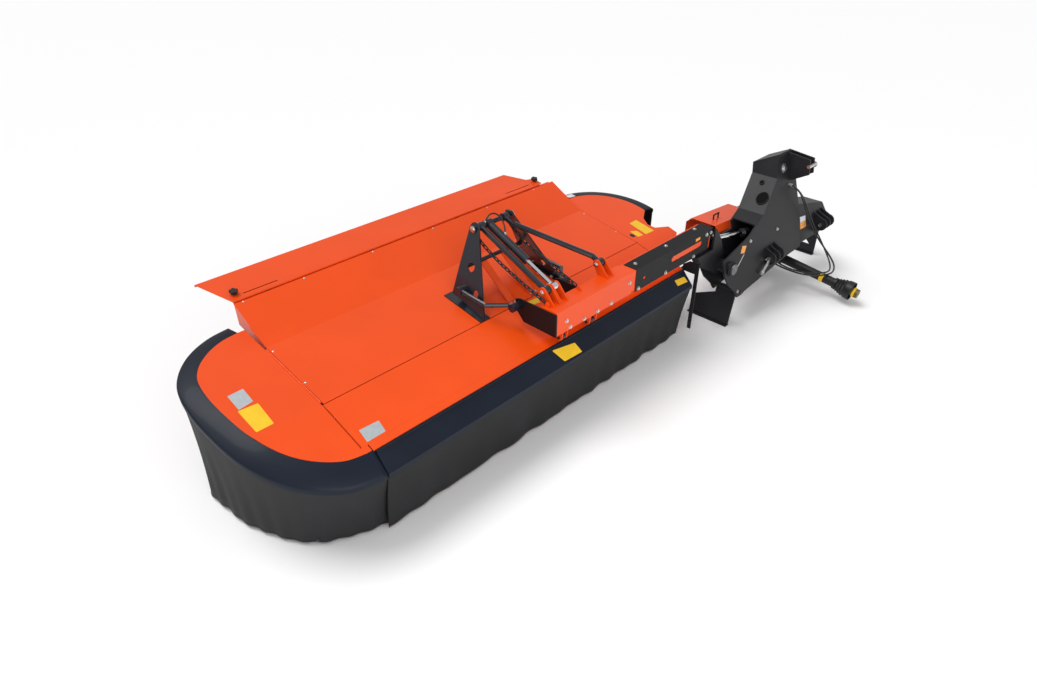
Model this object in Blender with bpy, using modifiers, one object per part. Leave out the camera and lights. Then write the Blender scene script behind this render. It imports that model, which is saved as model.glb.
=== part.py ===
"""Three-point mounted disc mower conditioner, standing on its skids and parking stands.

Metres, +Z up. X runs along the cutter bar towards the headstock, the machine travels towards -Y,
and the origin is on the ground under the middle skid shoe of the cutter bar.
"""

import math

import bmesh
import bpy
from mathutils import Matrix, Vector

# Clearances
FIT = 0.0003  # between faces that seat on each other
RUN = 0.006  # between pieces that move past each other

# Hood: height of its skin over the distance behind the cutter bar's line
FRONT_EDGE = (-0.452, 0.534)  # outer edge of the dark front band
BAND_TOP = (-0.351, 0.642)  # where the front band meets the orange skin
FOLD = (0.083, 0.772)
REAR_BEND = (0.716, 0.875)
REAR_EDGE = (1.076, 1.060)
FLAP_EDGE = (1.391, 1.104)
SKIN = 0.005
JOINT_LEFT = -1.513
JOINT_RIGHT = 1.558
BAND_LEFT = -1.468
BAND_RIGHT = 1.635
LIP = 0.030
BAND_DROP = 0.075
HEM_Z = 0.022
CURTAIN = 0.006

# Mower frame
SIDE_X = 1.840
SIDE_T = 0.012
MAIN_BEAM_Y = (0.10, 0.24)
MAIN_BEAM_H = 0.12
FRONT_RAIL_Y = (-0.330, -0.270)
FRONT_RAIL_H = 0.05
REAR_RAIL_Y = (0.985, 1.045)
REAR_RAIL_H = 0.06
GUSSETS_X = (-1.25, -0.42, 0.42, 1.25)
GUSSET_T = 0.010

# Cutter bar
DISC_COUNT = 8
DISC_PITCH = 0.44
BAR_Y = (-0.130, 0.150)
BAR_Z = (0.025, 0.075)
TURRET_R = 0.055
TURRET_H = 0.004
DISC_R = 0.165
BLADE_R = 0.250
BLADE_W = 0.045
SHOE_W = 0.30

# Conditioner rotor
ROTOR_Y = 0.44
ROTOR_Z = 0.43
ROTOR_CORE_R = 0.085
ROTOR_R = 0.245
ROTOR_HALF = 1.50
TINE_STATIONS = 20
BEARING_R = 0.055
BEARING_T = 0.030

# Swath boards
BOARD_X = 1.25
BOARD_Y = 0.82
BOARD_LENGTH = 0.50
BOARD_Z = (0.24, 0.66)
BOARD_TOE = 14.0
BOARD_PIN_TOP = 0.800
BOARD_PIN_R = 0.012

# Lifting arm and its suspension box
ARM_Y = (-0.400, -0.250)
ARM_Z = (0.760, 0.940)
BOX_X = (0.007, 0.840)
ARM_END_X = 1.900
COVER_T = 0.004
COVER_END_X = 1.924
PIVOT = (2.068, 0.566)  # fold axis, along Y
KNUCKLE_Y = (-0.430, -0.352)
PIVOT_R = 0.034

# Suspension tower and links
TOWER_X = 0.205
TOWER_TOP_HALF = 0.175
TOWER_BASE_HALF = 0.405
TOWER_BASE_Y = (0.095, 0.455)
TOWER_TOP_Y = 0.415
TOWER_TOP_Z = 1.290
TOWER_T = 0.012
LINK_R = 0.021
UPPER_PIN_Z = 1.020
UPPER_PIN_Y = -0.225
UPPER_PIN_X = (0.085, 0.660)
LOWER_PIN_Y = -0.060
LOWER_PIN_Z = 0.880
LOWER_REAR = (0.350, 0.905)

# Headstock: two leaning plates with the arm between them
LEAN = 0.303  # backward shift for each unit of height
PLATE_Y = -0.550  # front face of the front plate at the fold axis
PLATE_T = 0.015
HEAD_DEPTH = 0.250
HITCH_Y = -0.613
HITCH_Z = 0.472
HITCH_X = (2.740, 3.770)
TOP_PIN = (3.250, -0.565, 1.173)
EAR_T = 0.016
EAR_GAP = 0.062
HITCH_PIN_R = 0.018
TOP_PIN_R = 0.016

# Power take-off shaft
PTO_X = 3.250
PTO_START = (-0.335, 0.236)
PTO_END = (-1.270, 0.117)
PTO_SHAFT_R = 0.022
PTO_GUARD_R = 0.043

# Lift cylinder
LIFT_Y = -0.391
LIFT_ANCHOR = (3.120, 0.574)
LIFT_EYE = (1.970, 0.823)
LIFT_BARREL_R = 0.040
LIFT_ROD_R = 0.022
LIFT_BARREL_L = 0.660

# Drive between headstock and mower
DRIVE_Y = -0.020
DRIVE_BALL_R = 0.035
STUB_R = 0.042

# Parking stands
STAND_HINGE_NEAR = (2.154, 0.335)
STAND_HINGE_FAR = (3.985, 0.400)
STAND_T = 0.014

for old in list(bpy.data.objects):
    bpy.data.objects.remove(old, do_unlink=True)


def new_collection(name):
    made = bpy.data.collections.new(name)
    bpy.context.scene.collection.children.link(made)
    return made


PARTS = new_collection("disc_mower_conditioner")
CUTTERS = new_collection("helpers")


def paint(name, colour, roughness, metallic):
    made = bpy.data.materials.new(name)
    made.use_nodes = True
    shader = made.node_tree.nodes["Principled BSDF"]
    shader.inputs["Base Color"].default_value = (*colour, 1.0)
    shader.inputs["Roughness"].default_value = roughness
    shader.inputs["Metallic"].default_value = metallic
    return made


ORANGE = ("orange", (0.72, 0.075, 0.012), 0.30, 0.0)
DARK = ("dark", (0.030, 0.032, 0.036), 0.45, 0.2)
CHARCOAL = ("charcoal", (0.045, 0.046, 0.050), 0.45, 0.2)
NAVY = ("navy", (0.022, 0.028, 0.045), 0.50, 0.1)
BLACK = ("black", (0.012, 0.012, 0.013), 0.55, 0.0)
CLOTH = ("cloth", (0.035, 0.036, 0.038), 0.80, 0.0)
STEEL = ("steel", (0.45, 0.45, 0.46), 0.35, 0.9)
BRIGHT = ("bright", (0.75, 0.75, 0.77), 0.15, 1.0)


# Basic pieces, each a closed mesh in world coordinates, kept as a helper until a node takes it


def keep(bm, name="piece"):
    mesh = bpy.data.meshes.new(name)
    bm.to_mesh(mesh)
    bm.free()
    made = bpy.data.objects.new(name, mesh)
    made.hide_render = True
    made.display_type = "WIRE"
    CUTTERS.objects.link(made)
    return made


def box(x, y, z):
    """A block between the two values given for each axis."""
    size = [abs(b - a) for a, b in (x, y, z)]
    middle = [(a + b) / 2 for a, b in (x, y, z)]
    bm = bmesh.new()
    bmesh.ops.create_cube(bm, size=1.0, matrix=Matrix.Translation(middle) @ Matrix.Diagonal((*size, 1.0)))
    return keep(bm)


def rod(start, end, radius, end_radius=None, sides=20):
    """A cylinder, or a cone, between two points."""
    start, end = Vector(start), Vector(end)
    along = end - start
    turn = Vector((0, 0, 1)).rotation_difference(along).to_matrix().to_4x4()
    bm = bmesh.new()
    bmesh.ops.create_cone(
        bm,
        cap_ends=True,
        segments=sides,
        radius1=radius,
        radius2=radius if end_radius is None else end_radius,
        depth=along.length,
        matrix=Matrix.Translation((start + end) / 2) @ turn,
    )
    return keep(bm)


def ball(centre, radius):
    bm = bmesh.new()
    bmesh.ops.create_uvsphere(bm, u_segments=16, v_segments=10, radius=radius, matrix=Matrix.Translation(centre))
    return keep(bm)


def mesh_of_curve(curve_object, matrix):
    """The curve's closed mesh in world coordinates, with its loose caps welded."""
    bpy.context.view_layer.update()
    graph = bpy.context.evaluated_depsgraph_get()
    mesh = bpy.data.meshes.new_from_object(curve_object.evaluated_get(graph))
    bpy.data.objects.remove(curve_object, do_unlink=True)
    bm = bmesh.new()
    bm.from_mesh(mesh)
    bmesh.ops.remove_doubles(bm, verts=bm.verts, dist=0.00001)
    bmesh.ops.transform(bm, matrix=matrix, verts=bm.verts)
    bmesh.ops.recalc_face_normals(bm, faces=bm.faces)
    bpy.data.meshes.remove(mesh)
    return keep(bm)


def poly_spline(curve, points, cyclic):
    spline = curve.splines.new("POLY")
    spline.points.add(len(points) - 1)
    for slot, point in zip(spline.points, points):
        slot.co = (*point, *((0.0,) * (3 - len(point))), 1.0)
    spline.use_cyclic_u = cyclic


def plate(loops, origin, across, up, near, far):
    """A flat outline with holes, drawn along across and up from origin, between two depths on their normal."""
    curve = bpy.data.curves.new("outline", "CURVE")
    curve.dimensions = "2D"
    curve.fill_mode = "BOTH"
    curve.extrude = abs(far - near) / 2
    for loop in loops:
        poly_spline(curve, loop, True)
    made = bpy.data.objects.new("outline", curve)
    CUTTERS.objects.link(made)
    across, up = Vector(across).normalized(), Vector(up).normalized()
    normal = across.cross(up)
    matrix = Matrix.Translation(Vector(origin) + normal * (near + far) / 2)
    matrix = matrix @ Matrix((across, up, normal)).transposed().to_4x4()
    return mesh_of_curve(made, matrix)


def side_plate(loops, x0, x1):
    """An outline of (y, z) points between two values of x."""
    return plate(loops, (0, 0, 0), (0, 1, 0), (0, 0, 1), x0, x1)


def front_plate(loops, y0, y1):
    """An outline of (x, z) points between two values of y."""
    return plate(loops, (0, 0, 0), (1, 0, 0), (0, 0, 1), -y1, -y0)


def tube(points, radius, resolution=2):
    curve = bpy.data.curves.new("tube", "CURVE")
    curve.dimensions = "3D"
    curve.bevel_depth = radius
    curve.bevel_resolution = resolution
    curve.use_fill_caps = True
    poly_spline(curve, points, False)
    made = bpy.data.objects.new("tube", curve)
    CUTTERS.objects.link(made)
    return mesh_of_curve(made, Matrix.Identity(4))


def sheet(rows, thickness):
    """A skin through rows of points; its thickness lies on the side that the rows' winding turns away from."""
    bm = bmesh.new()
    grid = [[bm.verts.new(point) for point in row] for row in rows]
    for low, high in zip(grid, grid[1:]):
        for i in range(len(low) - 1):
            bm.faces.new((low[i], low[i + 1], high[i + 1], high[i]))
    made = keep(bm)
    solid = made.modifiers.new("thickness", "SOLIDIFY")
    solid.thickness = thickness
    solid.offset = -1.0
    solid.use_even_offset = True
    return made


def arc(centre, radius, start, end, steps):
    """Points on an ellipse's arc; radius is one value or a pair."""
    rx, ry = radius if isinstance(radius, tuple) else (radius, radius)
    angles = [math.radians(start + (end - start) * i / steps) for i in range(steps + 1)]
    return [(centre[0] + rx * math.cos(a), centre[1] + ry * math.sin(a)) for a in angles]


def running_bore(radius, sides=20):
    """Radius of a faceted bore in which a round pin of that radius can turn."""
    return (radius + FIT) / math.cos(math.pi / sides)


def circle(centre, radius, steps=16):
    return arc(centre, radius, 0, 360 * (steps - 1) / steps, steps - 1)


def smooth_path(points, steps):
    """A smooth curve through the points, sampled steps times in each span."""
    ends = [points[0]] + [Vector(p) for p in points] + [points[-1]]
    ends = [Vector(p) for p in ends]
    out = []
    for a, b, c, d in zip(ends, ends[1:], ends[2:], ends[3:]):
        for i in range(steps):
            t = i / steps
            out.append(
                tuple(
                    0.5 * (2 * b + (c - a) * t + (2 * a - 5 * b + 4 * c - d) * t**2 + (3 * b - a - 3 * c + d) * t**3)
                )
            )
    out.append(tuple(points[-1]))
    return out


# Bodies and nodes

BODIES = {}


def body(name, at, parent=None):
    """An empty on the body's joint axis, which carries its pieces."""
    made = bpy.data.objects.new("body_" + name, None)
    made.empty_display_size = 0.1
    PARTS.objects.link(made)
    made.location = at
    if parent:
        made.parent = BODIES[parent][0]
        made.location = Vector(at) - BODIES[parent][1]
    BODIES[name] = (made, Vector(at))


def node(name, look, body_name, pieces, cuts=(), hollow=()):
    """Hollows the first piece, joins the others to it, takes the cuts from the whole, and hangs it on its body."""
    made = pieces[0]
    CUTTERS.objects.unlink(made)
    PARTS.objects.link(made)
    made.name = name
    made.data.name = name
    made.hide_render = False
    made.display_type = "TEXTURED"
    empty, origin = BODIES[body_name]
    made.data.transform(Matrix.Translation(-origin))
    made.parent = empty
    for operation, others in (("DIFFERENCE", hollow), ("UNION", pieces[1:]), ("DIFFERENCE", cuts)):
        for other in others:
            change = made.modifiers.new(operation.lower(), "BOOLEAN")
            change.operation = operation
            change.solver = "EXACT"
            change.object = other
    made.data.materials.append(bpy.data.materials.get(look[0]) or paint(*look))
    made.data.shade_smooth()
    made.data.set_sharp_from_angle(angle=math.radians(35))
    return made


body("headstock", (0, 0, 0))
body("stand_near", (STAND_HINGE_NEAR[0], -0.5, STAND_HINGE_NEAR[1]), "headstock")
body("stand_far", (STAND_HINGE_FAR[0], -0.4, STAND_HINGE_FAR[1]), "headstock")
body("pto", (PTO_X, *PTO_START), "headstock")
body("lift_barrel", (LIFT_ANCHOR[0], LIFT_Y, LIFT_ANCHOR[1]), "headstock")
body("lift_rod", (LIFT_EYE[0], LIFT_Y, LIFT_EYE[1]), "lift_barrel")
body("arm", (PIVOT[0], KNUCKLE_Y[0], PIVOT[1]), "headstock")
body("front_guard", (0, *BAND_TOP), "arm")
body("outer_guard", (JOINT_LEFT, *FOLD), "arm")
body("rear_flap", (0, *REAR_EDGE), "arm")
body("rotor", (0, ROTOR_Y, ROTOR_Z), "arm")
for side, sign in (("left", -1), ("right", 1)):
    body("board_" + side, (sign * BOARD_X, BOARD_Y, BOARD_Z[0]), "arm")
DISC_X = [DISC_PITCH * (i - (DISC_COUNT - 1) / 2) for i in range(DISC_COUNT)]
for i, x in enumerate(DISC_X):
    body(f"disc_{i + 1}", (x, 0, BAR_Z[1]), "arm")


# Hood

PROFILE = (BAND_TOP, FOLD, REAR_BEND, REAR_EDGE)


def hood_z(y):
    """Height of the hood's skin at y."""
    for (y0, z0), (y1, z1) in zip(PROFILE, PROFILE[1:]):
        if y <= y1:
            break
    return z0 + (z1 - z0) * (y - y0) / (y1 - y0)


def end_z(y):
    """Height of the end guards' skin, which runs on past the rear bend in one plane."""
    (y0, z0), (y1, z1) = FOLD, REAR_BEND
    return hood_z(y) if y < y1 else z0 + (z1 - z0) * (y - y0) / (y1 - y0)


def under(y, height=hood_z):
    """Height just below the skin at y."""
    return height(y) - SKIN * 1.15 - FIT


def across(x0, x1, line):
    """Rows of a skin that runs from x0 to x1 along a line of (y, z) points."""
    return [[(x0, y, z), (x1, y, z)] for y, z in line]


SEAM = 0.003  # open joint between two skins
HINGE_R = 0.006
HINGE_SEAM = HINGE_R + SEAM
BAND_GAP = 0.014  # from a band's hinge line to the skin behind it

main_line = [(FOLD[0] + SEAM, FOLD[1]), REAR_BEND, (REAR_EDGE[0] - BAND_GAP, hood_z(REAR_EDGE[0] - BAND_GAP))]
front_line = [(y, hood_z(y)) for y in (BAND_TOP[0] + BAND_GAP, FOLD[0] - SEAM)]
node(
    "hood_main",
    ORANGE,
    "arm",
    [sheet(across(JOINT_LEFT + HINGE_SEAM, JOINT_RIGHT - SEAM, main_line), SKIN)],
)
node("hood_front", ORANGE, "arm", [sheet(across(BAND_LEFT, JOINT_RIGHT - SEAM, front_line), SKIN)])

# Outlines of the outer end in plan, from the front round to the rear
CORNER_STEPS = 8
CORNER_R = 0.52
CORNER_X = BAND_LEFT - 1.5 * RUN
BAND_W = BAND_TOP[0] - FRONT_EDGE[0]
OUTER_EDGE = (
    arc((CORNER_X, FRONT_EDGE[0] + CORNER_R), CORNER_R, 270, 180, CORNER_STEPS)
    + [(-1.992, FOLD[0]), (-2.045, 0.42)]
    + arc((-1.62, 0.72), 0.44, 180, 95, CORNER_STEPS)
)
INNER_EDGE = (
    arc((CORNER_X, BAND_TOP[0] + CORNER_R - BAND_W), CORNER_R - BAND_W, 270, 180, CORNER_STEPS)
    + [(-1.890, FOLD[0]), (-1.900, 0.42)]
    + arc((-1.61, 0.72), (0.294, 0.36), 180, 95, CORNER_STEPS)
)
OUTER_HEM = (
    arc((CORNER_X, 0.160), (0.575, 0.510), 270, 180, CORNER_STEPS)
    + [(-2.050, 0.20), (-2.065, 0.42)]
    + arc((-1.62, 0.72), (0.45, 0.43), 180, 95, CORNER_STEPS)
)
# Outlines of the inner end, from its cut front end round to the rear
INNER_END_CENTRE = (1.62, 0.46)
INNER_END_R = (0.62, 0.47)
INNER_END_ANGLES = (-22, 84)
RIGHT_OUTER = arc(INNER_END_CENTRE, INNER_END_R[0], *INNER_END_ANGLES, 10)
RIGHT_INNER = arc(INNER_END_CENTRE, INNER_END_R[1], *INNER_END_ANGLES, 10)
RIGHT_NOTCH = [(1.64, -0.337), (1.66, -0.20), (1.86, -0.10), (2.02, -0.01), (2.02, FOLD[0]), (1.90, 0.16), (1.95, 0.24)]


def inset(points, distance):
    """A line of plan points moved sideways, to the right of its direction of travel."""
    out = []
    for i, (x, y) in enumerate(points):
        ax, ay = points[max(i - 1, 0)]
        bx, by = points[min(i + 1, len(points) - 1)]
        length = math.hypot(bx - ax, by - ay)
        out.append((x + (by - ay) / length * distance, y - (bx - ax) / length * distance))
    return out


def drop(y):
    """How far a band's outer edge hangs below its inner edge."""
    front = BAND_TOP[1] - FRONT_EDGE[1]
    share = min(max((y - FRONT_EDGE[0]) / 0.5, 0.0), 1.0)
    return front + (BAND_DROP - front) * share


FLANGE = 0.022  # width of a band that tucks under the skin


def band_rows(inner, outer, side):
    """Rows of a band, from its lip up to the flange under the skin; side is 1 or -1 for its inner side."""
    rows = []
    for (ix, iy), (fx, fy), (ox, oy) in zip(inner, inset(inner, side * FLANGE), outer):
        low = end_z(iy) - drop(oy)
        tucked = end_z(fy) - SKIN * 1.06 - FIT
        rows.append([(ox, oy, low - LIP), (ox, oy, low), (ix, iy, end_z(iy) - SKIN * 1.06 - FIT), (fx, fy, tucked)])
    return rows if side > 0 else [row[::-1] for row in rows]


def curtain_rows(inner, outer, hem, hem_z, side):
    rows = []
    hung = inset(outer, side * (SKIN + 2 * FIT))
    for (ix, iy), (hx, hy), (ox, oy), (bx, by) in zip(inner, hung, outer, hem):
        low = end_z(iy) - drop(oy)
        rows.append([(bx, by, hem_z), (hx, hy, low - LIP - 0.005), (hx, hy, low - 0.012)])
    return rows if side > 0 else [row[::-1] for row in rows]


def hinge_z(y):
    """Height of the outer guard's hinge line, straight on from the hood's main slope."""
    return FOLD[1] + (REAR_BEND[1] - FOLD[1]) / (REAR_BEND[0] - FOLD[0]) * (y - FOLD[0])


plate_rows = [[(x + SEAM, y, end_z(y)), (JOINT_LEFT - RUN, y, end_z(y))] for x, y in INNER_EDGE if x < JOINT_LEFT - 0.02]
tab_y = (FOLD[0] + 0.02, REAR_BEND[0] - 0.02)
outer_tab = sheet([[(JOINT_LEFT - 0.03, y, hinge_z(y) - 0.001), (JOINT_LEFT, y, hinge_z(y) - 0.001)] for y in tab_y], SKIN * 0.8)
outer_hinge = rod(*[(JOINT_LEFT, y, hinge_z(y)) for y in tab_y], HINGE_R, sides=12)
node("outer_end_plate", ORANGE, "outer_guard", [sheet(plate_rows, SKIN), outer_tab, outer_hinge])
outer_band = band_rows(INNER_EDGE, OUTER_EDGE, 1)
node("outer_end_band", NAVY, "outer_guard", [sheet(outer_band, SKIN)])
hem = OUTER_HEM
node("outer_curtain", CLOTH, "outer_guard", [sheet(curtain_rows(INNER_EDGE, OUTER_EDGE, hem, HEM_Z, 1), CURTAIN)])

right_line = RIGHT_NOTCH + RIGHT_INNER
inner_rows = [[(JOINT_RIGHT + SEAM, y, end_z(y)), (x - SEAM, y, end_z(y))] for x, y in right_line]
node("inner_end_plate", ORANGE, "arm", [sheet(inner_rows, SKIN)])
node("inner_end_band", NAVY, "arm", [sheet(band_rows(RIGHT_INNER, RIGHT_OUTER, -1), SKIN)])
right_hem = inset(RIGHT_OUTER, -0.02)
node("inner_curtain", CLOTH, "arm", [sheet(curtain_rows(RIGHT_INNER, RIGHT_OUTER, right_hem, 0.20, -1), CURTAIN)])

# Front guard: the dark band on its hinge tube, and the long curtain under it
band_x = (BAND_LEFT + RUN, BAND_RIGHT)
band_line = [BAND_TOP, FRONT_EDGE, (FRONT_EDGE[0], FRONT_EDGE[1] - LIP)]
GUARD_HINGE_R = 0.008
guard_tube = rod(*[(x, *BAND_TOP) for x in band_x], GUARD_HINGE_R, sides=12)
node("front_band", NAVY, "front_guard", [sheet([[(x, y, z) for y, z in band_line] for x in band_x], SKIN), guard_tube])
hang_y = FRONT_EDGE[0] + SKIN + FIT
curtain_line = [
    (hang_y, FRONT_EDGE[1] - 0.012),
    (hang_y, FRONT_EDGE[1] - LIP - 0.005),
    (hang_y + 0.050, FRONT_EDGE[1] / 2),
    (BAND_TOP[0], HEM_Z),
]
node("front_curtain", CLOTH, "front_guard", [sheet([[(x, y, z) for y, z in curtain_line] for x in band_x], CURTAIN)])

# Frame under the hood: beams across, gussets along, side plates, and the lugs of the hinges
beam_top = under(MAIN_BEAM_Y[0])
rail_top = under(FRONT_RAIL_Y[0])
rear_top = under(REAR_RAIL_Y[0])
main_beam = box((-SIDE_X - 0.001, SIDE_X + 0.001), MAIN_BEAM_Y, (beam_top - MAIN_BEAM_H, beam_top))
front_rail = box((BAND_LEFT + RUN, BAND_RIGHT + 0.02), FRONT_RAIL_Y, (rail_top - FRONT_RAIL_H, rail_top))
rear_rail = box((GUSSETS_X[0] - 0.2, GUSSETS_X[-1] + 0.2), REAR_RAIL_Y, (rear_top - REAR_RAIL_H, rear_top))
gusset_line = [(y, under(y) - 0.001) for y in (FRONT_RAIL_Y[0] + 0.01, FOLD[0], REAR_BEND[0], REAR_RAIL_Y[0] + 0.01)]
gusset_line += [(REAR_RAIL_Y[0] + 0.01, rear_top - REAR_RAIL_H), (BOARD_Y + 0.05, BOARD_PIN_TOP)]
gusset_line += [(BOARD_Y - 0.05, BOARD_PIN_TOP), (MAIN_BEAM_Y[1], beam_top - MAIN_BEAM_H + 0.05)]
gusset_line += [(MAIN_BEAM_Y[0], beam_top - MAIN_BEAM_H), (FRONT_RAIL_Y[0] + 0.01, rail_top - FRONT_RAIL_H)]
gussets = [side_plate([gusset_line], x - GUSSET_T / 2, x + GUSSET_T / 2) for x in GUSSETS_X]
side_top = [(y, under(y, end_z) - 0.006) for y in (0.0, FOLD[0], 0.86)]
side_line = side_top + [(0.86, 0.40), (0.60, 0.16), (BAR_Y[1], BAR_Z[0]), (BAR_Y[0] + 0.03, BAR_Z[0]), (BAR_Y[0] + 0.03, 0.12)]
side_line += [(-0.02, 0.35)]
sides = [side_plate([side_line], sign * SIDE_X, sign * (SIDE_X + SIDE_T)) for sign in (-1, 1)]
bearings = [
    rod((sign * (SIDE_X + 0.001), ROTOR_Y, ROTOR_Z), (sign * (SIDE_X - BEARING_T), ROTOR_Y, ROTOR_Z), BEARING_R)
    for sign in (-1, 1)
]
guard_lug_top = BAND_TOP[1] - GUARD_HINGE_R - FIT
guard_lugs = [box((x - 0.02, x + 0.02), (BAND_TOP[0], -0.30), (guard_lug_top - 0.02, guard_lug_top)) for x in GUSSETS_X]
flap_lug = [(1.0, 0.975)] + [(y, under(y) - 0.001) for y in (1.0, 1.055)]
flap_lug += [(1.0675, under(1.05)), (1.0675, REAR_EDGE[1] - GUARD_HINGE_R - FIT)]
flap_lug += [(REAR_EDGE[0], REAR_EDGE[1] - GUARD_HINGE_R - FIT)]
flap_lug += [(REAR_EDGE[0], 1.02), (1.045, 0.96)]
flap_lugs = [side_plate([flap_lug], x - 0.02, x + 0.02) for x in GUSSETS_X]
lug_y = (0.115, 0.165)
side_lug_top = hinge_z(lug_y[0]) - HINGE_R - FIT
side_lug = box((JOINT_LEFT - 0.004, JOINT_LEFT + 0.004), lug_y, (beam_top - 0.01, side_lug_top))
board_bosses = [
    rod((sign * BOARD_X, BOARD_Y, BOARD_PIN_TOP), (sign * BOARD_X, BOARD_Y, BOARD_PIN_TOP + 0.04), 2 * BOARD_PIN_R)
    for sign in (-1, 1)
]
frame = [main_beam, front_rail, rear_rail, *gussets, *sides, *bearings, *guard_lugs, *flap_lugs, side_lug, *board_bosses]
node("mower_frame", DARK, "arm", frame)

# Rear flap on its hinge tube, with the knobs that clamp it
flap_x = (JOINT_LEFT + 0.013, 1.46)
flap_tube = rod(*[(x, *REAR_EDGE) for x in flap_x], GUARD_HINGE_R, sides=12)
node("rear_flap", ORANGE, "rear_flap", [sheet(across(*flap_x, (REAR_EDGE, FLAP_EDGE)), SKIN), flap_tube])
flap_run = Vector((0, FLAP_EDGE[0] - REAR_EDGE[0], FLAP_EDGE[1] - REAR_EDGE[1])).normalized()
flap_up = Vector((1, 0, 0)).cross(flap_run)
KNOB_R = 0.026
for side, x in (("left", flap_x[0] + 0.05), ("right", flap_x[1] - 0.05)):
    star = [(KNOB_R * (1 + 0.16 * math.cos(5 * a)) * math.cos(a), KNOB_R * (1 + 0.16 * math.cos(5 * a)) * math.sin(a))
            for a in (math.tau * i / 30 for i in range(30))]
    seat = Vector((x, *REAR_EDGE)) + flap_run * 0.075 + flap_up * FIT
    knob = [plate([star], seat, (1, 0, 0), flap_run, 0.012, 0.030), rod(seat, seat + flap_up * 0.02, KNOB_R * 0.5)]
    node("flap_knob_" + side, BLACK, "rear_flap", knob)

# Cutter bar with its skid shoes, and the discs above it
bar_line = [(BAR_Y[0], BAR_Z[0]), (BAR_Y[1], BAR_Z[0]), (BAR_Y[1], BAR_Z[1]), (BAR_Y[0] + 0.02, BAR_Z[1])]
bar_line += [(BAR_Y[0], BAR_Z[1] - 0.02)]
bar_end = SIDE_X - FIT
shoe_line = [(-0.17, 0.05), (-0.10, 0), (0.16, 0), (0.16, 0.026), (-0.09, 0.026), (-0.155, 0.062)]
shoe_x = [DISC_PITCH * i for i in range(1 - DISC_COUNT // 2, DISC_COUNT // 2)]
shoe_x += [sign * (bar_end - 0.002 - SHOE_W / 2) for sign in (-1, 1)]
cutter_bar = [side_plate([bar_line], -bar_end, bar_end)]
cutter_bar += [side_plate([shoe_line], x - SHOE_W / 2, x + SHOE_W / 2) for x in shoe_x]
cutter_bar += [rod((x, 0, BAR_Z[1] - 0.01), (x, 0, BAR_Z[1] + TURRET_H), TURRET_R) for x in DISC_X]
node("cutter_bar", DARK, "arm", cutter_bar)
BLADE_Z = BAR_Z[1] + 0.0055
BLADE_T = 0.005
for i, x in enumerate(DISC_X):
    first = 90 + 60 * (i % 2)
    lobes = [
        (DISC_R * (0.93 + 0.07 * math.cos(3 * math.radians(a - first))) * math.cos(math.radians(a)),
         DISC_R * (0.93 + 0.07 * math.cos(3 * math.radians(a - first))) * math.sin(math.radians(a)))
        for a in range(0, 360, 12)
    ]
    low = BLADE_Z + BLADE_T - 0.001
    disc = [plate([lobes], (x, 0, 0), (1, 0, 0), (0, 1, 0), low, low + 0.010)]
    disc += [rod((x, 0, low + 0.008), (x, 0, low + 0.040), 0.105, 0.055), rod((x, 0, low + 0.038), (x, 0, low + 0.048), 0.03)]
    disc += [rod((x, 0, BAR_Z[1] + TURRET_H + FIT), (x, 0, low + 0.005), 0.035)]
    blade = [(DISC_R * 0.7, -BLADE_W / 2), (BLADE_R, -BLADE_W / 2), (BLADE_R, BLADE_W / 2), (DISC_R * 0.7, BLADE_W / 2)]
    for k in range(3):
        turn = math.radians(first + 120 * k)
        out = (math.cos(turn), math.sin(turn), 0)
        disc.append(plate([blade], (x, 0, 0), out, (-out[1], out[0], 0), BLADE_Z, BLADE_Z + BLADE_T))
    node(f"disc_{i + 1}", STEEL, f"disc_{i + 1}", disc)

# Conditioner rotor: forked tines in pairs along a tube
rotor = [rod((-ROTOR_HALF, ROTOR_Y, ROTOR_Z), (ROTOR_HALF, ROTOR_Y, ROTOR_Z), ROTOR_CORE_R, sides=24)]
stub_end = SIDE_X - BEARING_T - FIT
rotor.append(rod((-stub_end, ROTOR_Y, ROTOR_Z), (stub_end, ROTOR_Y, ROTOR_Z), 0.025))
TINE_HALF = 0.045
TINE_T = 0.008
fork = [(-0.02, ROTOR_CORE_R - 0.015), (0.02, ROTOR_CORE_R - 0.015), (TINE_HALF, ROTOR_R), (TINE_HALF - 0.015, ROTOR_R)]
fork += [(0, ROTOR_CORE_R + 0.045), (0.015 - TINE_HALF, ROTOR_R), (-TINE_HALF, ROTOR_R)]
for i in range(TINE_STATIONS):
    x = ROTOR_HALF * (2 * (i + 0.5) / TINE_STATIONS - 1)
    for half in (0, 180):
        turn = math.radians(72 * i + half)
        out = (0, math.cos(turn), math.sin(turn))
        rotor.append(plate([fork], (x, ROTOR_Y, ROTOR_Z), (1, 0, 0), out, -TINE_T / 2, TINE_T / 2))
node("conditioner_rotor", STEEL, "rotor", rotor)

# Swath boards: upright plates that lead the crop in behind the rotor
for side, sign in (("left", -1), ("right", 1)):
    steps = 6
    line = []
    for i in range(steps + 1):
        run = BOARD_LENGTH * i / steps
        toe = math.radians(BOARD_TOE) * run / BOARD_LENGTH
        line.append((sign * (BOARD_X - run * math.sin(toe)), BOARD_Y + run * math.cos(toe)))
    board = [sheet([[(x, y, z) for z in BOARD_Z] for x, y in line], 0.004)]
    board.append(rod((sign * BOARD_X, BOARD_Y, BOARD_Z[0]), (sign * BOARD_X, BOARD_Y, BOARD_PIN_TOP - FIT), BOARD_PIN_R))
    node("swath_board_" + side, DARK, "board_" + side, board)


# Lifting arm

def lug(base_left, base_right, pin, radius, steps=8):
    """Outline of a lug: a base line and a half circle round its pin."""
    middle = ((base_left[0] + base_right[0]) / 2, (base_left[1] + base_right[1]) / 2)
    turn = math.degrees(math.atan2(pin[1] - middle[1], pin[0] - middle[0]))
    return [base_left, base_right] + arc(pin, radius, turn - 90, turn + 90, steps)


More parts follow.
